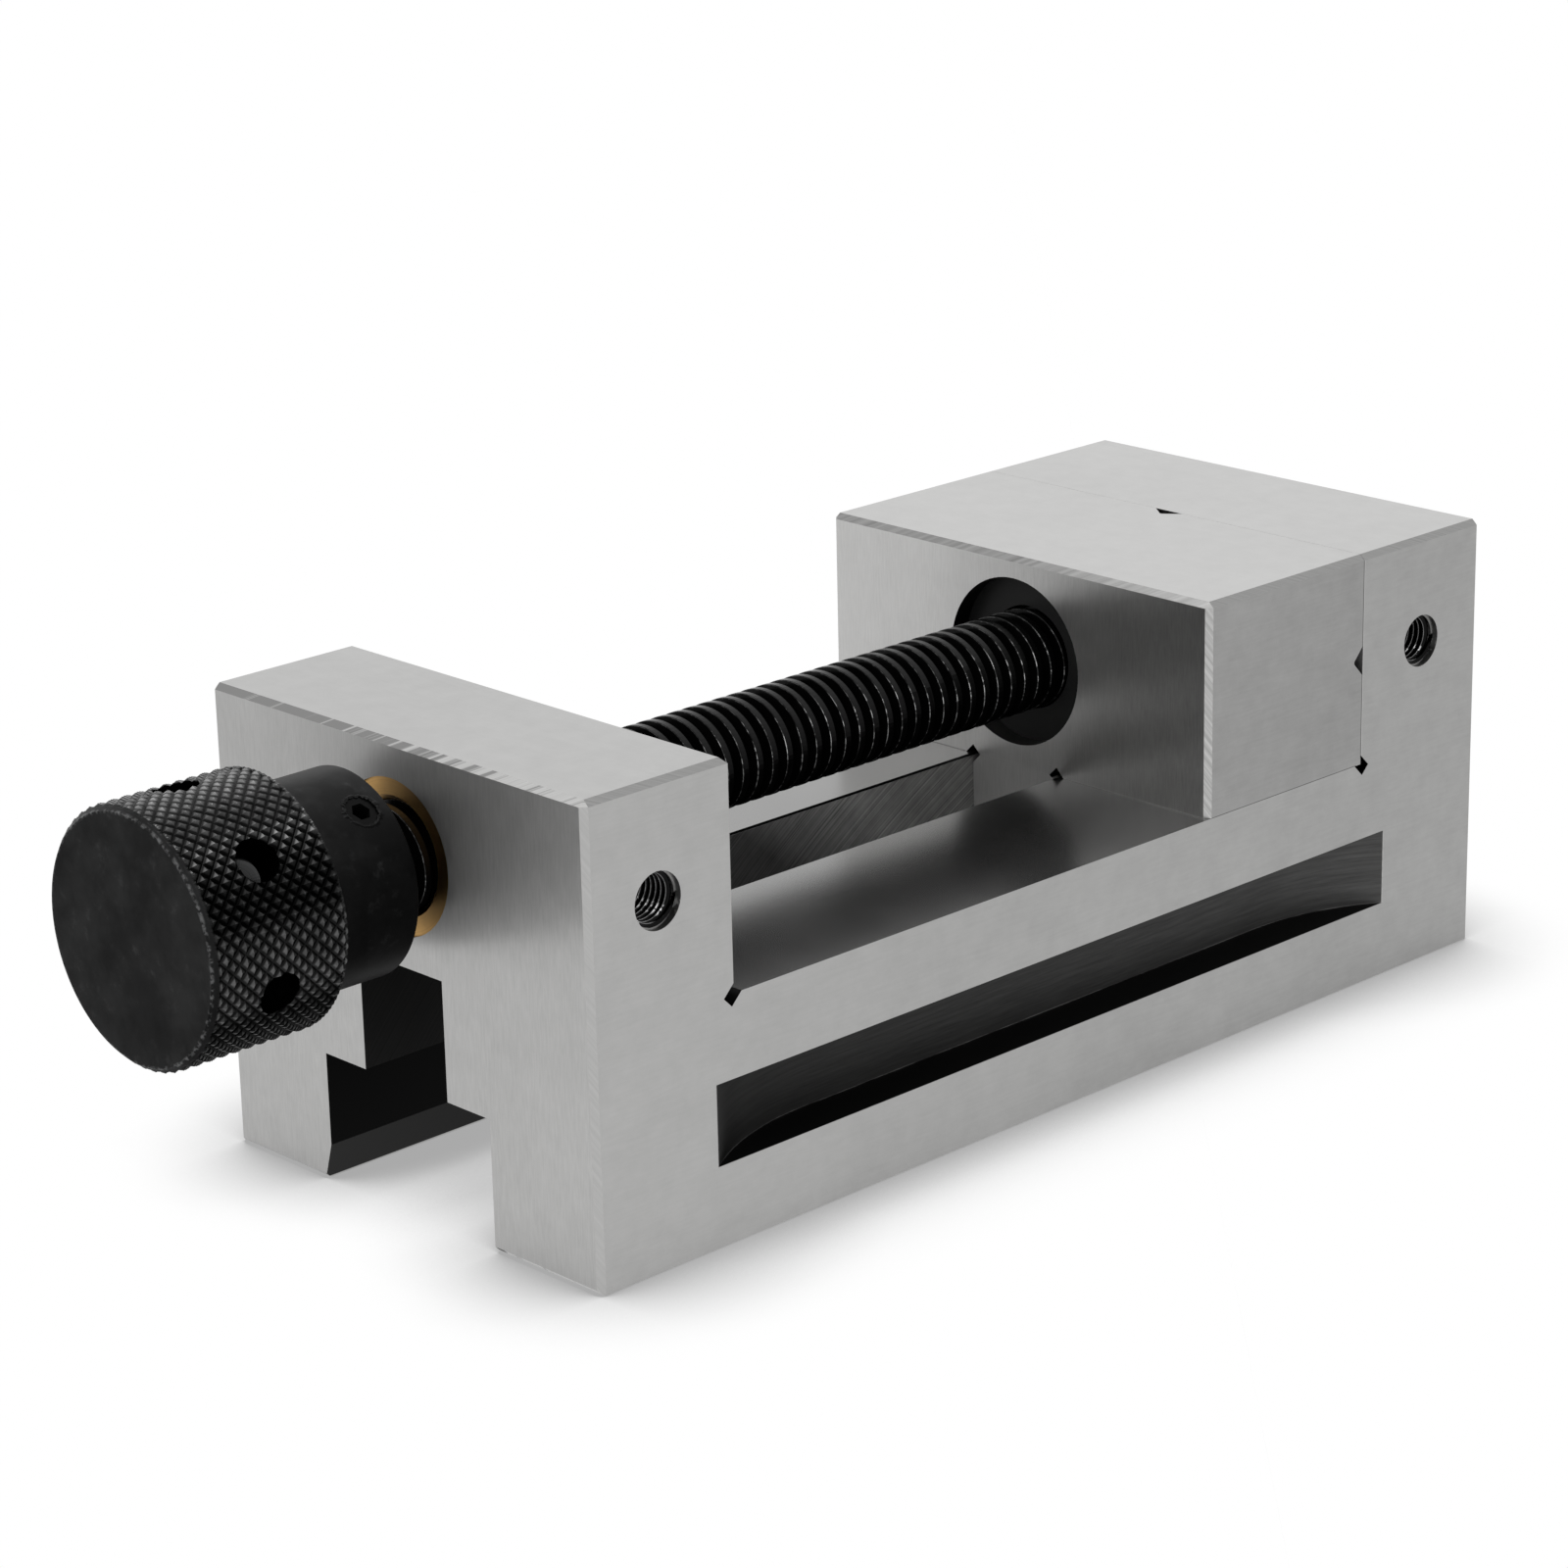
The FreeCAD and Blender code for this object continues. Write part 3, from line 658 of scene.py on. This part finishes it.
def knurl_shine(n, place, z, deep):
    """Reflectance of the knurl, painted: highlights on the flanks that face the front, at the top
    and below the middle, painted shade in a band above the middle and towards the bottom, and less
    shine in the grooves.
    """
    facing = n.split(n.add("ShaderNodeNewGeometry").outputs["Normal"])[0]
    flank = n.ramp(facing, -0.32, -0.12, 1.0, 0.0)
    low = n.math("MULTIPLY", inside(n, z, AXIS_Z - 7 * MM, AXIS_Z + 3 * MM, 2 * MM), 0.75)
    high = n.math("MULTIPLY", inside(n, z, AXIS_Z + 14 * MM, AXIS_Z + 18 * MM, 2 * MM), 0.30)
    # Painted shade: dimmer in a band above the middle and towards the bottom.
    dim = n.blend(inside(n, z, AXIS_Z + 5 * MM, AXIS_Z + 12 * MM, 2 * MM), 1.0, 0.30)
    dim = n.math("MULTIPLY", dim, n.ramp(z, AXIS_Z - 13 * MM, AXIS_Z - 8 * MM, 0.5, 1.0))
    shine = n.math("ADD", painted_sheen_from_above(n, 0.05, 0.42),
                   n.math("MULTIPLY", flank, n.math("ADD", low, high)))
    return product(n, shine, dim, n.blend(deep, 0.15, 1.0),
                   n.ramp(n.noise(place, 620.0), 0.35, 0.65, 0.6, 1.35))


def knob_black():
    """Black oxide of the knob, rubbed on the knurl's points, with a painted highlight round the
    front rim, painted shade in the knurl's grooves, and drilled bottoms painted darker towards the
    point.
    """
    n = material_nodes("knob_black")
    place = n.coordinates()["Object"]
    x, y, z = n.split(place)
    radius = from_screw_axis(n, y, z)
    cloud = n.noise(place, 150.0, 4.0, 0.65)
    grain = n.noise(place, 1400.0, 3.0, 0.6)
    on_knurl = product(n, below(n, x, KNURL_REAR - 3 * HAIR),
                       above(n, x, KNOB_FRONT + 7 * HAIR, 2 * HAIR))
    deep = above(n, radius, KNURL_RADIUS - 0.32 * MM, 0.13 * MM)
    tip = product(n, on_knurl, above(n, radius, KNURL_RADIUS - 0.12 * MM),
                  n.ramp(grain, 0.5, 0.65))
    # A painted highlight round the front rim, broken by nicks.
    rim = product(n, inside(n, x, KNOB_FRONT - HAIR, KNOB_FRONT + 0.25 * MM, HAIR),
                  above(n, radius, KNURL_RADIUS - 1.35 * MM, 0.35 * MM),
                  n.ramp(grain, 0.45, 0.62))
    bottom_radius = KNURL_RADIUS - TOMMY_DEPTH
    bottom = product(n, below(n, radius, bottom_radius, 2 * HAIR),
                     inside(n, x, TOMMY_X - TOMMY_RADIUS, TOMMY_X + TOMMY_RADIUS, 0.05 * MM))

    tone = n.math("MULTIPLY_ADD", cloud, 0.017, 0.002)
    on_collar = above(n, x, KNURL_REAR - HAIR)
    tone = n.math("MULTIPLY", tone, n.blend(on_collar, 1.0, 0.30))
    wear = product(n, n.ramp(n.noise(place, 420.0, 4.0, 0.7), 0.56, 0.70),
                   n.ramp(cloud, 0.42, 0.60))
    tone = n.math("ADD", tone, n.math("MULTIPLY", wear, 0.012))
    # Painted shade: the knurl's grooves are nearly black.
    tone = n.blend(on_knurl, tone, n.blend(deep, 0.0003, 0.004))
    tone = n.blend(tip, tone, 0.06)
    tone = n.blend(rim, tone, 0.10)
    # The tommy holes' drilled bottoms are bare steel with drill rings, painted darker towards the
    # point as shade.
    rings = n.ramp(stripes(n, radius, DRILL_RINGS), 0.3, 0.7, 0.3, 1.0)
    cone = n.ramp(radius, bottom_radius - TOMMY_POINT, bottom_radius, 0.015, 0.07)
    tone = n.blend(bottom, tone, n.math("MULTIPLY", rings, cone))

    rough = n.math("ADD", 0.33, n.math("MULTIPLY", cloud, 0.18))
    rough = n.blend(on_knurl, rough, 0.24)
    rough = n.blend(bottom, rough, 0.25)
    stain = n.ramp(n.noise(place, 75.0, 4.0, 0.6), 0.38, 0.62, 0.55, 1.25)
    plain_shine = n.math("MULTIPLY", painted_sheen_from_above(n, 0.02, 0.12), stain)
    shine = n.blend(on_knurl, plain_shine, knurl_shine(n, place, z, deep))
    turned = stripes(n, x, KNOB_TURNING)
    height = n.math("ADD", n.math("MULTIPLY", turned, 0.5), grain)
    return n.surface(n.grey(tone, BLACK_TINT), rough, bottom, n.bump(height, 0.012 * MM, 0.5),
                     specular=shine)


def oiled_thread():
    """Glossy, oily black thread, rubbed bright along the edges of its crest, which is also a
    painted highlight that glints and fades out where no light falls.
    """
    n = material_nodes("oiled_thread")
    place = n.coordinates()["Object"]
    x, y, z = n.split(place)
    angle = n.math("ARCTAN2", n.math("SUBTRACT", z, AXIS_Z), y)
    turns = n.math("SUBTRACT", n.math("DIVIDE", x, THREAD_LEAD),
                   n.math("DIVIDE", angle, 2 * math.pi))
    phase = n.math("FRACT", turns)
    smear = n.marks(place, SMEARS)
    glint = n.noise(place, 1000.0, 3.0, 0.6)
    edge = 0.5 - CREST_SHARE
    # Painted highlight: the rubbed line fades out low down and over the top, where no light falls.
    in_light = inside(n, z, AXIS_Z - 2.5 * MM, AXIS_Z + 5 * MM, 1.5 * MM)
    rubbed = product(n, inside(n, phase, edge - 0.010, edge + 0.014, 0.008),
                     above(n, from_screw_axis(n, y, z), THREAD_RADIUS - 2 * HAIR),
                     n.ramp(smear, 0.36, 0.48), n.ramp(glint, 0.47, 0.58, 0.10, 1.0),
                     n.blend(in_light, 0.08, 1.0))
    tone = n.blend(rubbed, n.math("MULTIPLY", smear, 0.003), 0.75)
    rough = n.ramp(smear, 0.3, 0.7, 0.10, 0.26)
    return n.surface(n.grey(tone), rough, rubbed, n.bump(smear, 0.020 * MM, 0.4),
                     specular=painted_sheen_from_above(n, 0.0, 0.17))


def cut_thread():
    """Oily tapped steel with painted light and shade: flanks painted black as shade, a thin crest
    painted grey as the lit part, and painted glints low down.
    """
    n = material_nodes("cut_thread")
    place = n.coordinates()["Object"]
    x, y, z = n.split(place)
    chatter = n.noise(place, 1500.0, 3.0, 0.6)
    from_hole = from_side_holes(n, x, z)
    crest_radius = SIDE_HOLE_RADIUS - SIDE_THREAD_DEPTH
    crest = below(n, from_hole, crest_radius + 0.02 * MM, 0.07 * MM)
    # Painted glints on the crests low down, brighter towards the mouth.
    glint = product(n, n.ramp(n.noise(place, 1700.0), 0.52, 0.57),
                    inside(n, z, AXIS_Z - 3.0 * MM, AXIS_Z - 2.0 * MM, 0.2 * MM),
                    n.ramp(n.math("ABSOLUTE", y), 32 * MM, 38.5 * MM, 0.2, 1.0),
                    below(n, from_hole, crest_radius + 0.10 * MM, 0.15 * MM))
    tone = n.blend(crest, 0.008, n.ramp(chatter, 0.3, 0.7, 0.12, 0.30))
    tone = n.blend(glint, tone, 0.95)
    return n.surface(n.grey(tone), 0.20, 1.0, n.bump(chatter, 0.020 * MM, 0.5))


def turned_bronze():
    """Bronze with fine facing rings."""
    n = material_nodes("turned_bronze")
    place = n.coordinates()["Object"]
    x, y, z = n.split(place)
    rings = stripes(n, from_screw_axis(n, y, z), FACING_RINGS, 2.0, 0.5)
    stain = n.noise(place, 300.0, 3.0, 0.6)
    tone = n.math("ADD", n.math("MULTIPLY", rings, 0.25), n.math("MULTIPLY", stain, 0.25))
    tone = n.math("ADD", 0.36, tone)
    return n.surface(n.grey(tone, BRONZE_TINT), 0.34, 1.0, n.bump(rings, 0.010 * MM, 0.5))


# Knob
def knurl_depth(angle, x):
    """How deep the knurl is cut at a place: 0 on the diamonds' flats, 1 in the grooves."""
    turns = angle / (2 * math.pi) * KNURL_STARTS
    along = (x - KNOB_FRONT) / KNURL_PITCH
    depth = 0.0
    for phase in (turns + along, turns - along):
        from_groove = abs(phase - round(phase)) * 2
        depth = max(depth, 1 - from_groove / (1 - KNURL_FLAT))
    return depth


def knob_rows():
    """(x, outer radius, knurled) of each ring of points from the front face back."""
    step = KNURL_PITCH / KNURL_STEPS
    rows = [(KNOB_FRONT, CENTRE_RADIUS, False), (KNOB_FRONT, KNURL_RADIUS - FRONT_BREAK, False)]
    count = int(KNURL_LENGTH / step)
    for i in range(1, count):
        x = KNOB_FRONT + i * step
        radius = min(KNURL_RADIUS, KNURL_RADIUS - FRONT_BREAK + (x - KNOB_FRONT),
                     KNURL_RADIUS - REAR_BREAK + (KNURL_REAR - x))
        rows.append((x, radius, True))
    rows += [(KNURL_REAR, KNURL_RADIUS - REAR_BREAK - KNURL_DEPTH / 2, False),
             (KNURL_REAR, COLLAR_RADIUS, False), (KNOB_REAR - REAR_BREAK, COLLAR_RADIUS, False),
             (KNOB_REAR, COLLAR_RADIUS - REAR_BREAK, False), (KNOB_REAR, SEAT_RADIUS, False),
             (KNOB_REAR - SEAT_DEPTH, SEAT_RADIUS, False),
             (KNOB_REAR - SEAT_DEPTH, CENTRE_RADIUS, False)]
    return rows


def knob_mesh():
    """The knob as one closed turned surface with a diamond knurl."""
    around = KNURL_STARTS * KNURL_STEPS
    rows = knob_rows()
    verts, faces = [], []
    for x, radius, knurled in rows:
        for i in range(around):
            angle = 2 * math.pi * i / around
            r = radius
            if knurled:
                run_in = min(1.0, (x - KNOB_FRONT) / FRONT_BREAK, (KNURL_REAR - x) / FRONT_BREAK)
                r = min(radius, KNURL_RADIUS - KNURL_DEPTH * run_in * knurl_depth(angle, x))
            verts.append(on_axis(x, r, angle))
    for row in range(len(rows) - 1):
        for i in range(around):
            a, b = row * around + i, row * around + (i + 1) % around
            c, d = b + around, a + around
            # Grooves run along the squares' diagonals: split each square along its groove.
            first = (Vector(verts[a]) - Vector(verts[c])).length
            second = (Vector(verts[b]) - Vector(verts[d])).length
            if first > second:
                faces += [(a, d, b), (b, d, c)]
            else:
                faces += [(a, d, c), (a, c, b)]
    last = (len(rows) - 1) * around
    faces.append(tuple(range(around)))
    faces.append(tuple(last + i for i in reversed(range(around))))
    return mesh_object("knob_knurled", verts, faces)


def drill(name, x, surface_radius, degrees, radius, depth, point):
    """A drill's space, from a round surface towards its axis: a bar with a cone at its end."""
    angle = math.radians(degrees)
    mouth = Vector(on_axis(x, surface_radius, angle))
    inward = -Vector((0, math.cos(angle), math.sin(angle)))
    turn = inward.to_track_quat("Z", "Y").to_matrix()
    sides = DRILL_SIDES
    verts, faces = [], []
    for height in (-DRILL_OVERRUN, depth):
        for i in range(sides):
            a = 2 * math.pi * i / sides
            point_on_bar = Vector((radius * math.cos(a), radius * math.sin(a), height))
            verts.append(mouth + turn @ point_on_bar)
    verts.append(mouth + turn @ Vector((0, 0, depth + point)))
    for i in range(sides):
        j = (i + 1) % sides
        faces.append((i, j, sides + j, sides + i))
        faces.append((sides + i, sides + j, 2 * sides))
    faces.append(tuple(reversed(range(sides))))
    return mesh_object(name, verts, faces)


def cut_away(obj, cutters):
    """Subtracts the cutters from a mesh for good, and removes them."""
    for cutter in cutters:
        modifier = obj.modifiers.new("cut", "BOOLEAN")
        modifier.operation = "DIFFERENCE"
        modifier.solver = "MANIFOLD"
        modifier.object = cutter
    apply_modifiers(obj)
    for cutter in cutters:
        bpy.data.objects.remove(cutter)


def make_knob(finish):
    knob = knob_mesh()
    cutters = []
    for i in range(TOMMY_HOLES):
        degrees = TOMMY_FIRST_ANGLE + 360.0 / TOMMY_HOLES * i
        cutters.append(drill("tommy_drill", TOMMY_X, KNURL_RADIUS, degrees,
                             TOMMY_RADIUS, TOMMY_DEPTH, TOMMY_POINT))
    cutters.append(drill("set_screw_drill", SET_SCREW_X, COLLAR_RADIUS, SET_SCREW_ANGLE,
                         SET_SCREW_RADIUS, SET_SCREW_HOLE_DEPTH, SET_SCREW_HOLE_POINT))
    cut_away(knob, cutters)
    assign(knob, finish)
    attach(knob, "screw")
    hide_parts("knob")


# Lead screw
def thread_radius(angle, x):
    """The radius of the right-hand trapezoidal thread at a place."""
    phase = (x / THREAD_LEAD - angle / (2 * math.pi)) % 1.0
    from_crest = abs(phase - 0.5) * THREAD_LEAD
    if from_crest < HALF_CREST:
        return THREAD_RADIUS - max(from_crest - (HALF_CREST - CREST_BREAK), 0.0)
    drop = min((from_crest - HALF_CREST) / FLANK, 1.0)
    return THREAD_RADIUS - CREST_BREAK - (THREAD_DEPTH - CREST_BREAK) * drop


def thread_profile():
    """Places of the thread's corners along one lead."""
    centre = 0.5 * THREAD_LEAD
    rising = [HALF_CREST + FLANK, HALF_CREST, HALF_CREST - CREST_BREAK]
    return [0.0] + [centre - s for s in rising] + [centre + s for s in reversed(rising)]


def screw_mesh():
    """Seat in the knob, thread and thrust collar as one closed surface."""
    thread_end = SCREW_HIGH[0] - THRUST_COLLAR_LENGTH
    collar_radius = SCREW_HIGH[1]
    profile = thread_profile()
    first = math.floor(KNOB_REAR / THREAD_LEAD) - 2
    last = math.ceil(thread_end / THREAD_LEAD) + 2
    stations = [turn * THREAD_LEAD + s for turn in range(first, last) for s in profile]
    ends = [(SCREW_LOW[0], CENTRE_RADIUS), (SCREW_LOW[0], SEAT_RADIUS), (KNOB_REAR, SEAT_RADIUS)]
    tail = [(thread_end, collar_radius), (SCREW_HIGH[0], collar_radius),
            (SCREW_HIGH[0], CENTRE_RADIUS)]
    rows = len(ends) + len(stations) + len(tail)
    thread_top = len(ends) + len(stations) - 1
    verts, faces = [], []
    for i in range(THREAD_AROUND):
        angle = 2 * math.pi * i / THREAD_AROUND
        verts += [on_axis(x, r, angle) for x, r in ends]
        for station in stations:
            x = min(max(station + THREAD_LEAD * angle / (2 * math.pi), KNOB_REAR), thread_end)
            verts.append(on_axis(x, thread_radius(angle, x), angle))
        verts += [on_axis(x, r, angle) for x, r in tail]
    for i in range(THREAD_AROUND):
        nxt = (i + 1) % THREAD_AROUND
        for row in range(rows - 1):
            a, d = i * rows + row, i * rows + row + 1
            b, c = nxt * rows + row, nxt * rows + row + 1
            if nxt == 0 and len(ends) <= row < thread_top:
                # One turn on, the next start of the profile takes over.
                b = min(row + len(profile), thread_top)
                c = min(row + len(profile) + 1, thread_top)
            faces.append((a, b, c, d))
    return mesh_object("lead_screw_thread", verts, faces)


def make_lead_screw():
    screw = screw_mesh()
    mend(screw, WELD)
    assign(screw, oiled_thread())
    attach(screw, "screw")
    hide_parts("lead_screw")


# Threads of the side holes
def make_side_thread(name, x, side, finish):
    """One M8 thread as a closed ridge that winds down the wall of its hole."""
    base = SIDE_HOLE_RADIUS + SIDE_THREAD_OVERLAP
    crest = SIDE_HOLE_RADIUS - SIDE_THREAD_DEPTH
    # Half widths of the ridge at the wall and at its crest
    wide, narrow = SIDE_THREAD_LEAD * 0.42, SIDE_THREAD_LEAD * 0.09
    section = [(base, -wide), (crest, -narrow), (crest, narrow), (base, wide)]
    steps = int(SIDE_THREAD_LENGTH / SIDE_THREAD_LEAD * SIDE_THREAD_AROUND)
    wall = side * (HALF_WIDTH - SIDE_MOUTH_DEPTH - 0.3 * wide)
    verts = []
    for i in range(steps + 1):
        angle = 2 * math.pi * i / SIDE_THREAD_AROUND
        # Both ends of the thread run out into the wall.
        fade = min(1.0, i / SIDE_THREAD_AROUND / SIDE_THREAD_RUN_IN,
                   (steps - i) / SIDE_THREAD_AROUND / SIDE_THREAD_RUN_OUT)
        depth = SIDE_THREAD_LEAD * i / SIDE_THREAD_AROUND
        for radius, along in section:
            r = base - (base - radius) * max(fade, 0.05)
            verts.append((x + r * math.cos(angle), wall - side * (depth + along),
                          AXIS_Z + side * r * math.sin(angle)))
    count = len(section)
    faces = tube_faces(steps + 1, count)
    faces.append(tuple(range(count)))
    faces.append(tuple(steps * count + j for j in reversed(range(count))))
    thread = mesh_object(name, verts, faces)
    mend(thread)
    assign(thread, finish)
    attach(thread, "base")


def make_side_threads():
    finish = cut_thread()
    for place, x in (("head", HEAD_HOLE_X), ("jaw", JAW_HOLE_X)):
        for label, side in (("near", -1), ("far", 1)):
            make_side_thread("thread_" + place + "_" + label, x, side, finish)


def make_set_screw_burr(finish):
    """The ragged rim that drilling and staking left round the set screw's hole."""
    rng = random.Random(7)
    centre_angle = math.radians(SET_SCREW_ANGLE)
    verts = []
    for i in range(BURR_SIDES):
        turn = 2 * math.pi * i / BURR_SIDES
        swell = 0.5 + 0.5 * math.sin(turn * 2 + 0.7)
        inner = SET_SCREW_RADIUS + rng.uniform(-0.28, 0.02) * MM
        crown = SET_SCREW_RADIUS + rng.uniform(0.10, 0.22) * MM
        outer = SET_SCREW_RADIUS + rng.uniform(0.35, 0.60 + 0.5 * swell) * MM
        rise = rng.uniform(0.05, 0.10 + 0.16 * swell) * MM
        for radius, height in ((inner, -0.5 * MM), (inner, 0.3 * rise), (crown, rise),
                               (outer, -0.03 * MM), (outer, -0.5 * MM)):
            x = SET_SCREW_X + radius * math.cos(turn)
            angle = centre_angle + radius * math.sin(turn) / COLLAR_RADIUS
            verts.append(on_axis(x, COLLAR_RADIUS + height, angle))
    faces = tube_faces(BURR_SIDES, len(verts) // BURR_SIDES, closed=True)
    burr = mesh_object("set_screw_burr", verts, faces)
    mend(burr)
    assign(burr, finish)
    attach(burr, "screw")


# Camera, light and floor
def looking_at(place, target):
    """The placing of a camera or a light at one point that looks at another."""
    turn = (Vector(target) - Vector(place)).to_track_quat("-Z", "Y").to_matrix().to_4x4()
    return Matrix.Translation(place) @ turn


def opaque(grey):
    return (grey, grey, grey, 1.0)


def make_camera():
    data = bpy.data.cameras.new("camera")
    data.sensor_width = SENSOR
    data.lens = CAMERA_LENS
    camera = link(bpy.data.objects.new("camera", data))
    roll = Matrix.Rotation(math.radians(CAMERA_ROLL), 4, "Z")
    camera.matrix_world = looking_at(CAMERA_PLACE, CAMERA_TARGET) @ roll
    bpy.context.scene.camera = camera


def seen_directly(n):
    """1 for rays from the camera, in reflections and through glass."""
    path = n.add("ShaderNodeLightPath").outputs
    return any_of(n, [path["Is Camera Ray"], path["Is Glossy Ray"], path["Is Transmission Ray"]])


def make_floor():
    """White above and in reflections, darker close to what stands on it, clear from below."""
    corners = [(x * FLOOR_SIZE, y * FLOOR_SIZE, FLOOR_HEIGHT)
               for x, y in ((-1, -1), (1, -1), (1, 1), (-1, 1))]
    floor = mesh_object("floor", corners, [(0, 1, 2, 3)])
    n = material_nodes("floor")
    paper = n.add("ShaderNodeBsdfDiffuse")
    paper.inputs["Color"].default_value = opaque(PAPER_GREY)
    around = n.add("ShaderNodeAmbientOcclusion", samples=24)
    around.inputs["Distance"].default_value = SHADOW_REACH
    shadow = n.ramp(around.outputs["AO"], 0.48, 0.94, SHADOW_DEPTH, 0.0)
    strength = n.blend(n.add("ShaderNodeLightPath").outputs["Is Camera Ray"], SHADOW_IN_GLOSS, 1.0)
    glow = n.add("ShaderNodeEmission")
    n.feed(glow.inputs["Color"], n.grey(inverse(n, n.math("MULTIPLY", shadow, strength))))
    top = n.mix(seen_directly(n), paper.outputs[0], glow.outputs[0])
    clear = n.add("ShaderNodeBsdfTransparent").outputs[0]
    n.show(n.mix(n.add("ShaderNodeNewGeometry").outputs["Backfacing"], top, clear))
    assign(floor, n.owner)


def make_world():
    """Even light all round, and plain white where the world itself is seen."""
    world = bpy.data.worlds.new("world")
    bpy.context.scene.world = world
    n = Nodes(world, "ShaderNodeOutputWorld")
    light, white = (n.add("ShaderNodeBackground") for _ in range(2))
    light.inputs[0].default_value = opaque(SKY_GREY)
    white.inputs[0].default_value = opaque(1.0)
    n.show(n.mix(seen_directly(n), light.outputs[0], white.outputs[0]))


def area_light(name, place, size, power):
    data = bpy.data.lights.new(name, "AREA")
    data.shape = "RECTANGLE"
    data.size, data.size_y = size
    data.energy = power
    light = link(bpy.data.objects.new(name, data))
    light.matrix_world = looking_at(place, LIT_PLACE)


def make_lights():
    area_light("overhead", (-0.12, 0.05, 1.1), size=(0.7, 0.7), power=7.0)
    area_light("left", (-1.0, 0.35, 0.7), size=(0.35, 0.7), power=1.4)


def dress_solids():
    finishes = [
        (ground_steel(), ("vise_body", "movable_jaw", "keeper_plate")),
        (turned_bronze(), ("screw_nut", "thrust_washer")),
        (black_oxide("black_oxide", 0.14), ("keeper_screw_front", "keeper_screw_rear")),
        # The ring's copy of the black has a lighter base: painted light on the ring down in the
        # bore.
        (black_oxide("ring_black_painted_light", 0.14, 0.018), ("retaining_ring",)),
        (black_oxide("set_screw_black", 0.05), ("knob_set_screw",)),
    ]
    for material, names in finishes:
        for name in names:
            assign(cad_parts[name], material)


make_world()
make_camera()
make_lights()
make_floor()
dress_solids()
knob_finish = knob_black()
make_knob(knob_finish)
make_lead_screw()
make_side_threads()
make_set_screw_burr(knob_finish)
bpy.context.scene.view_settings.view_transform = "Standard"
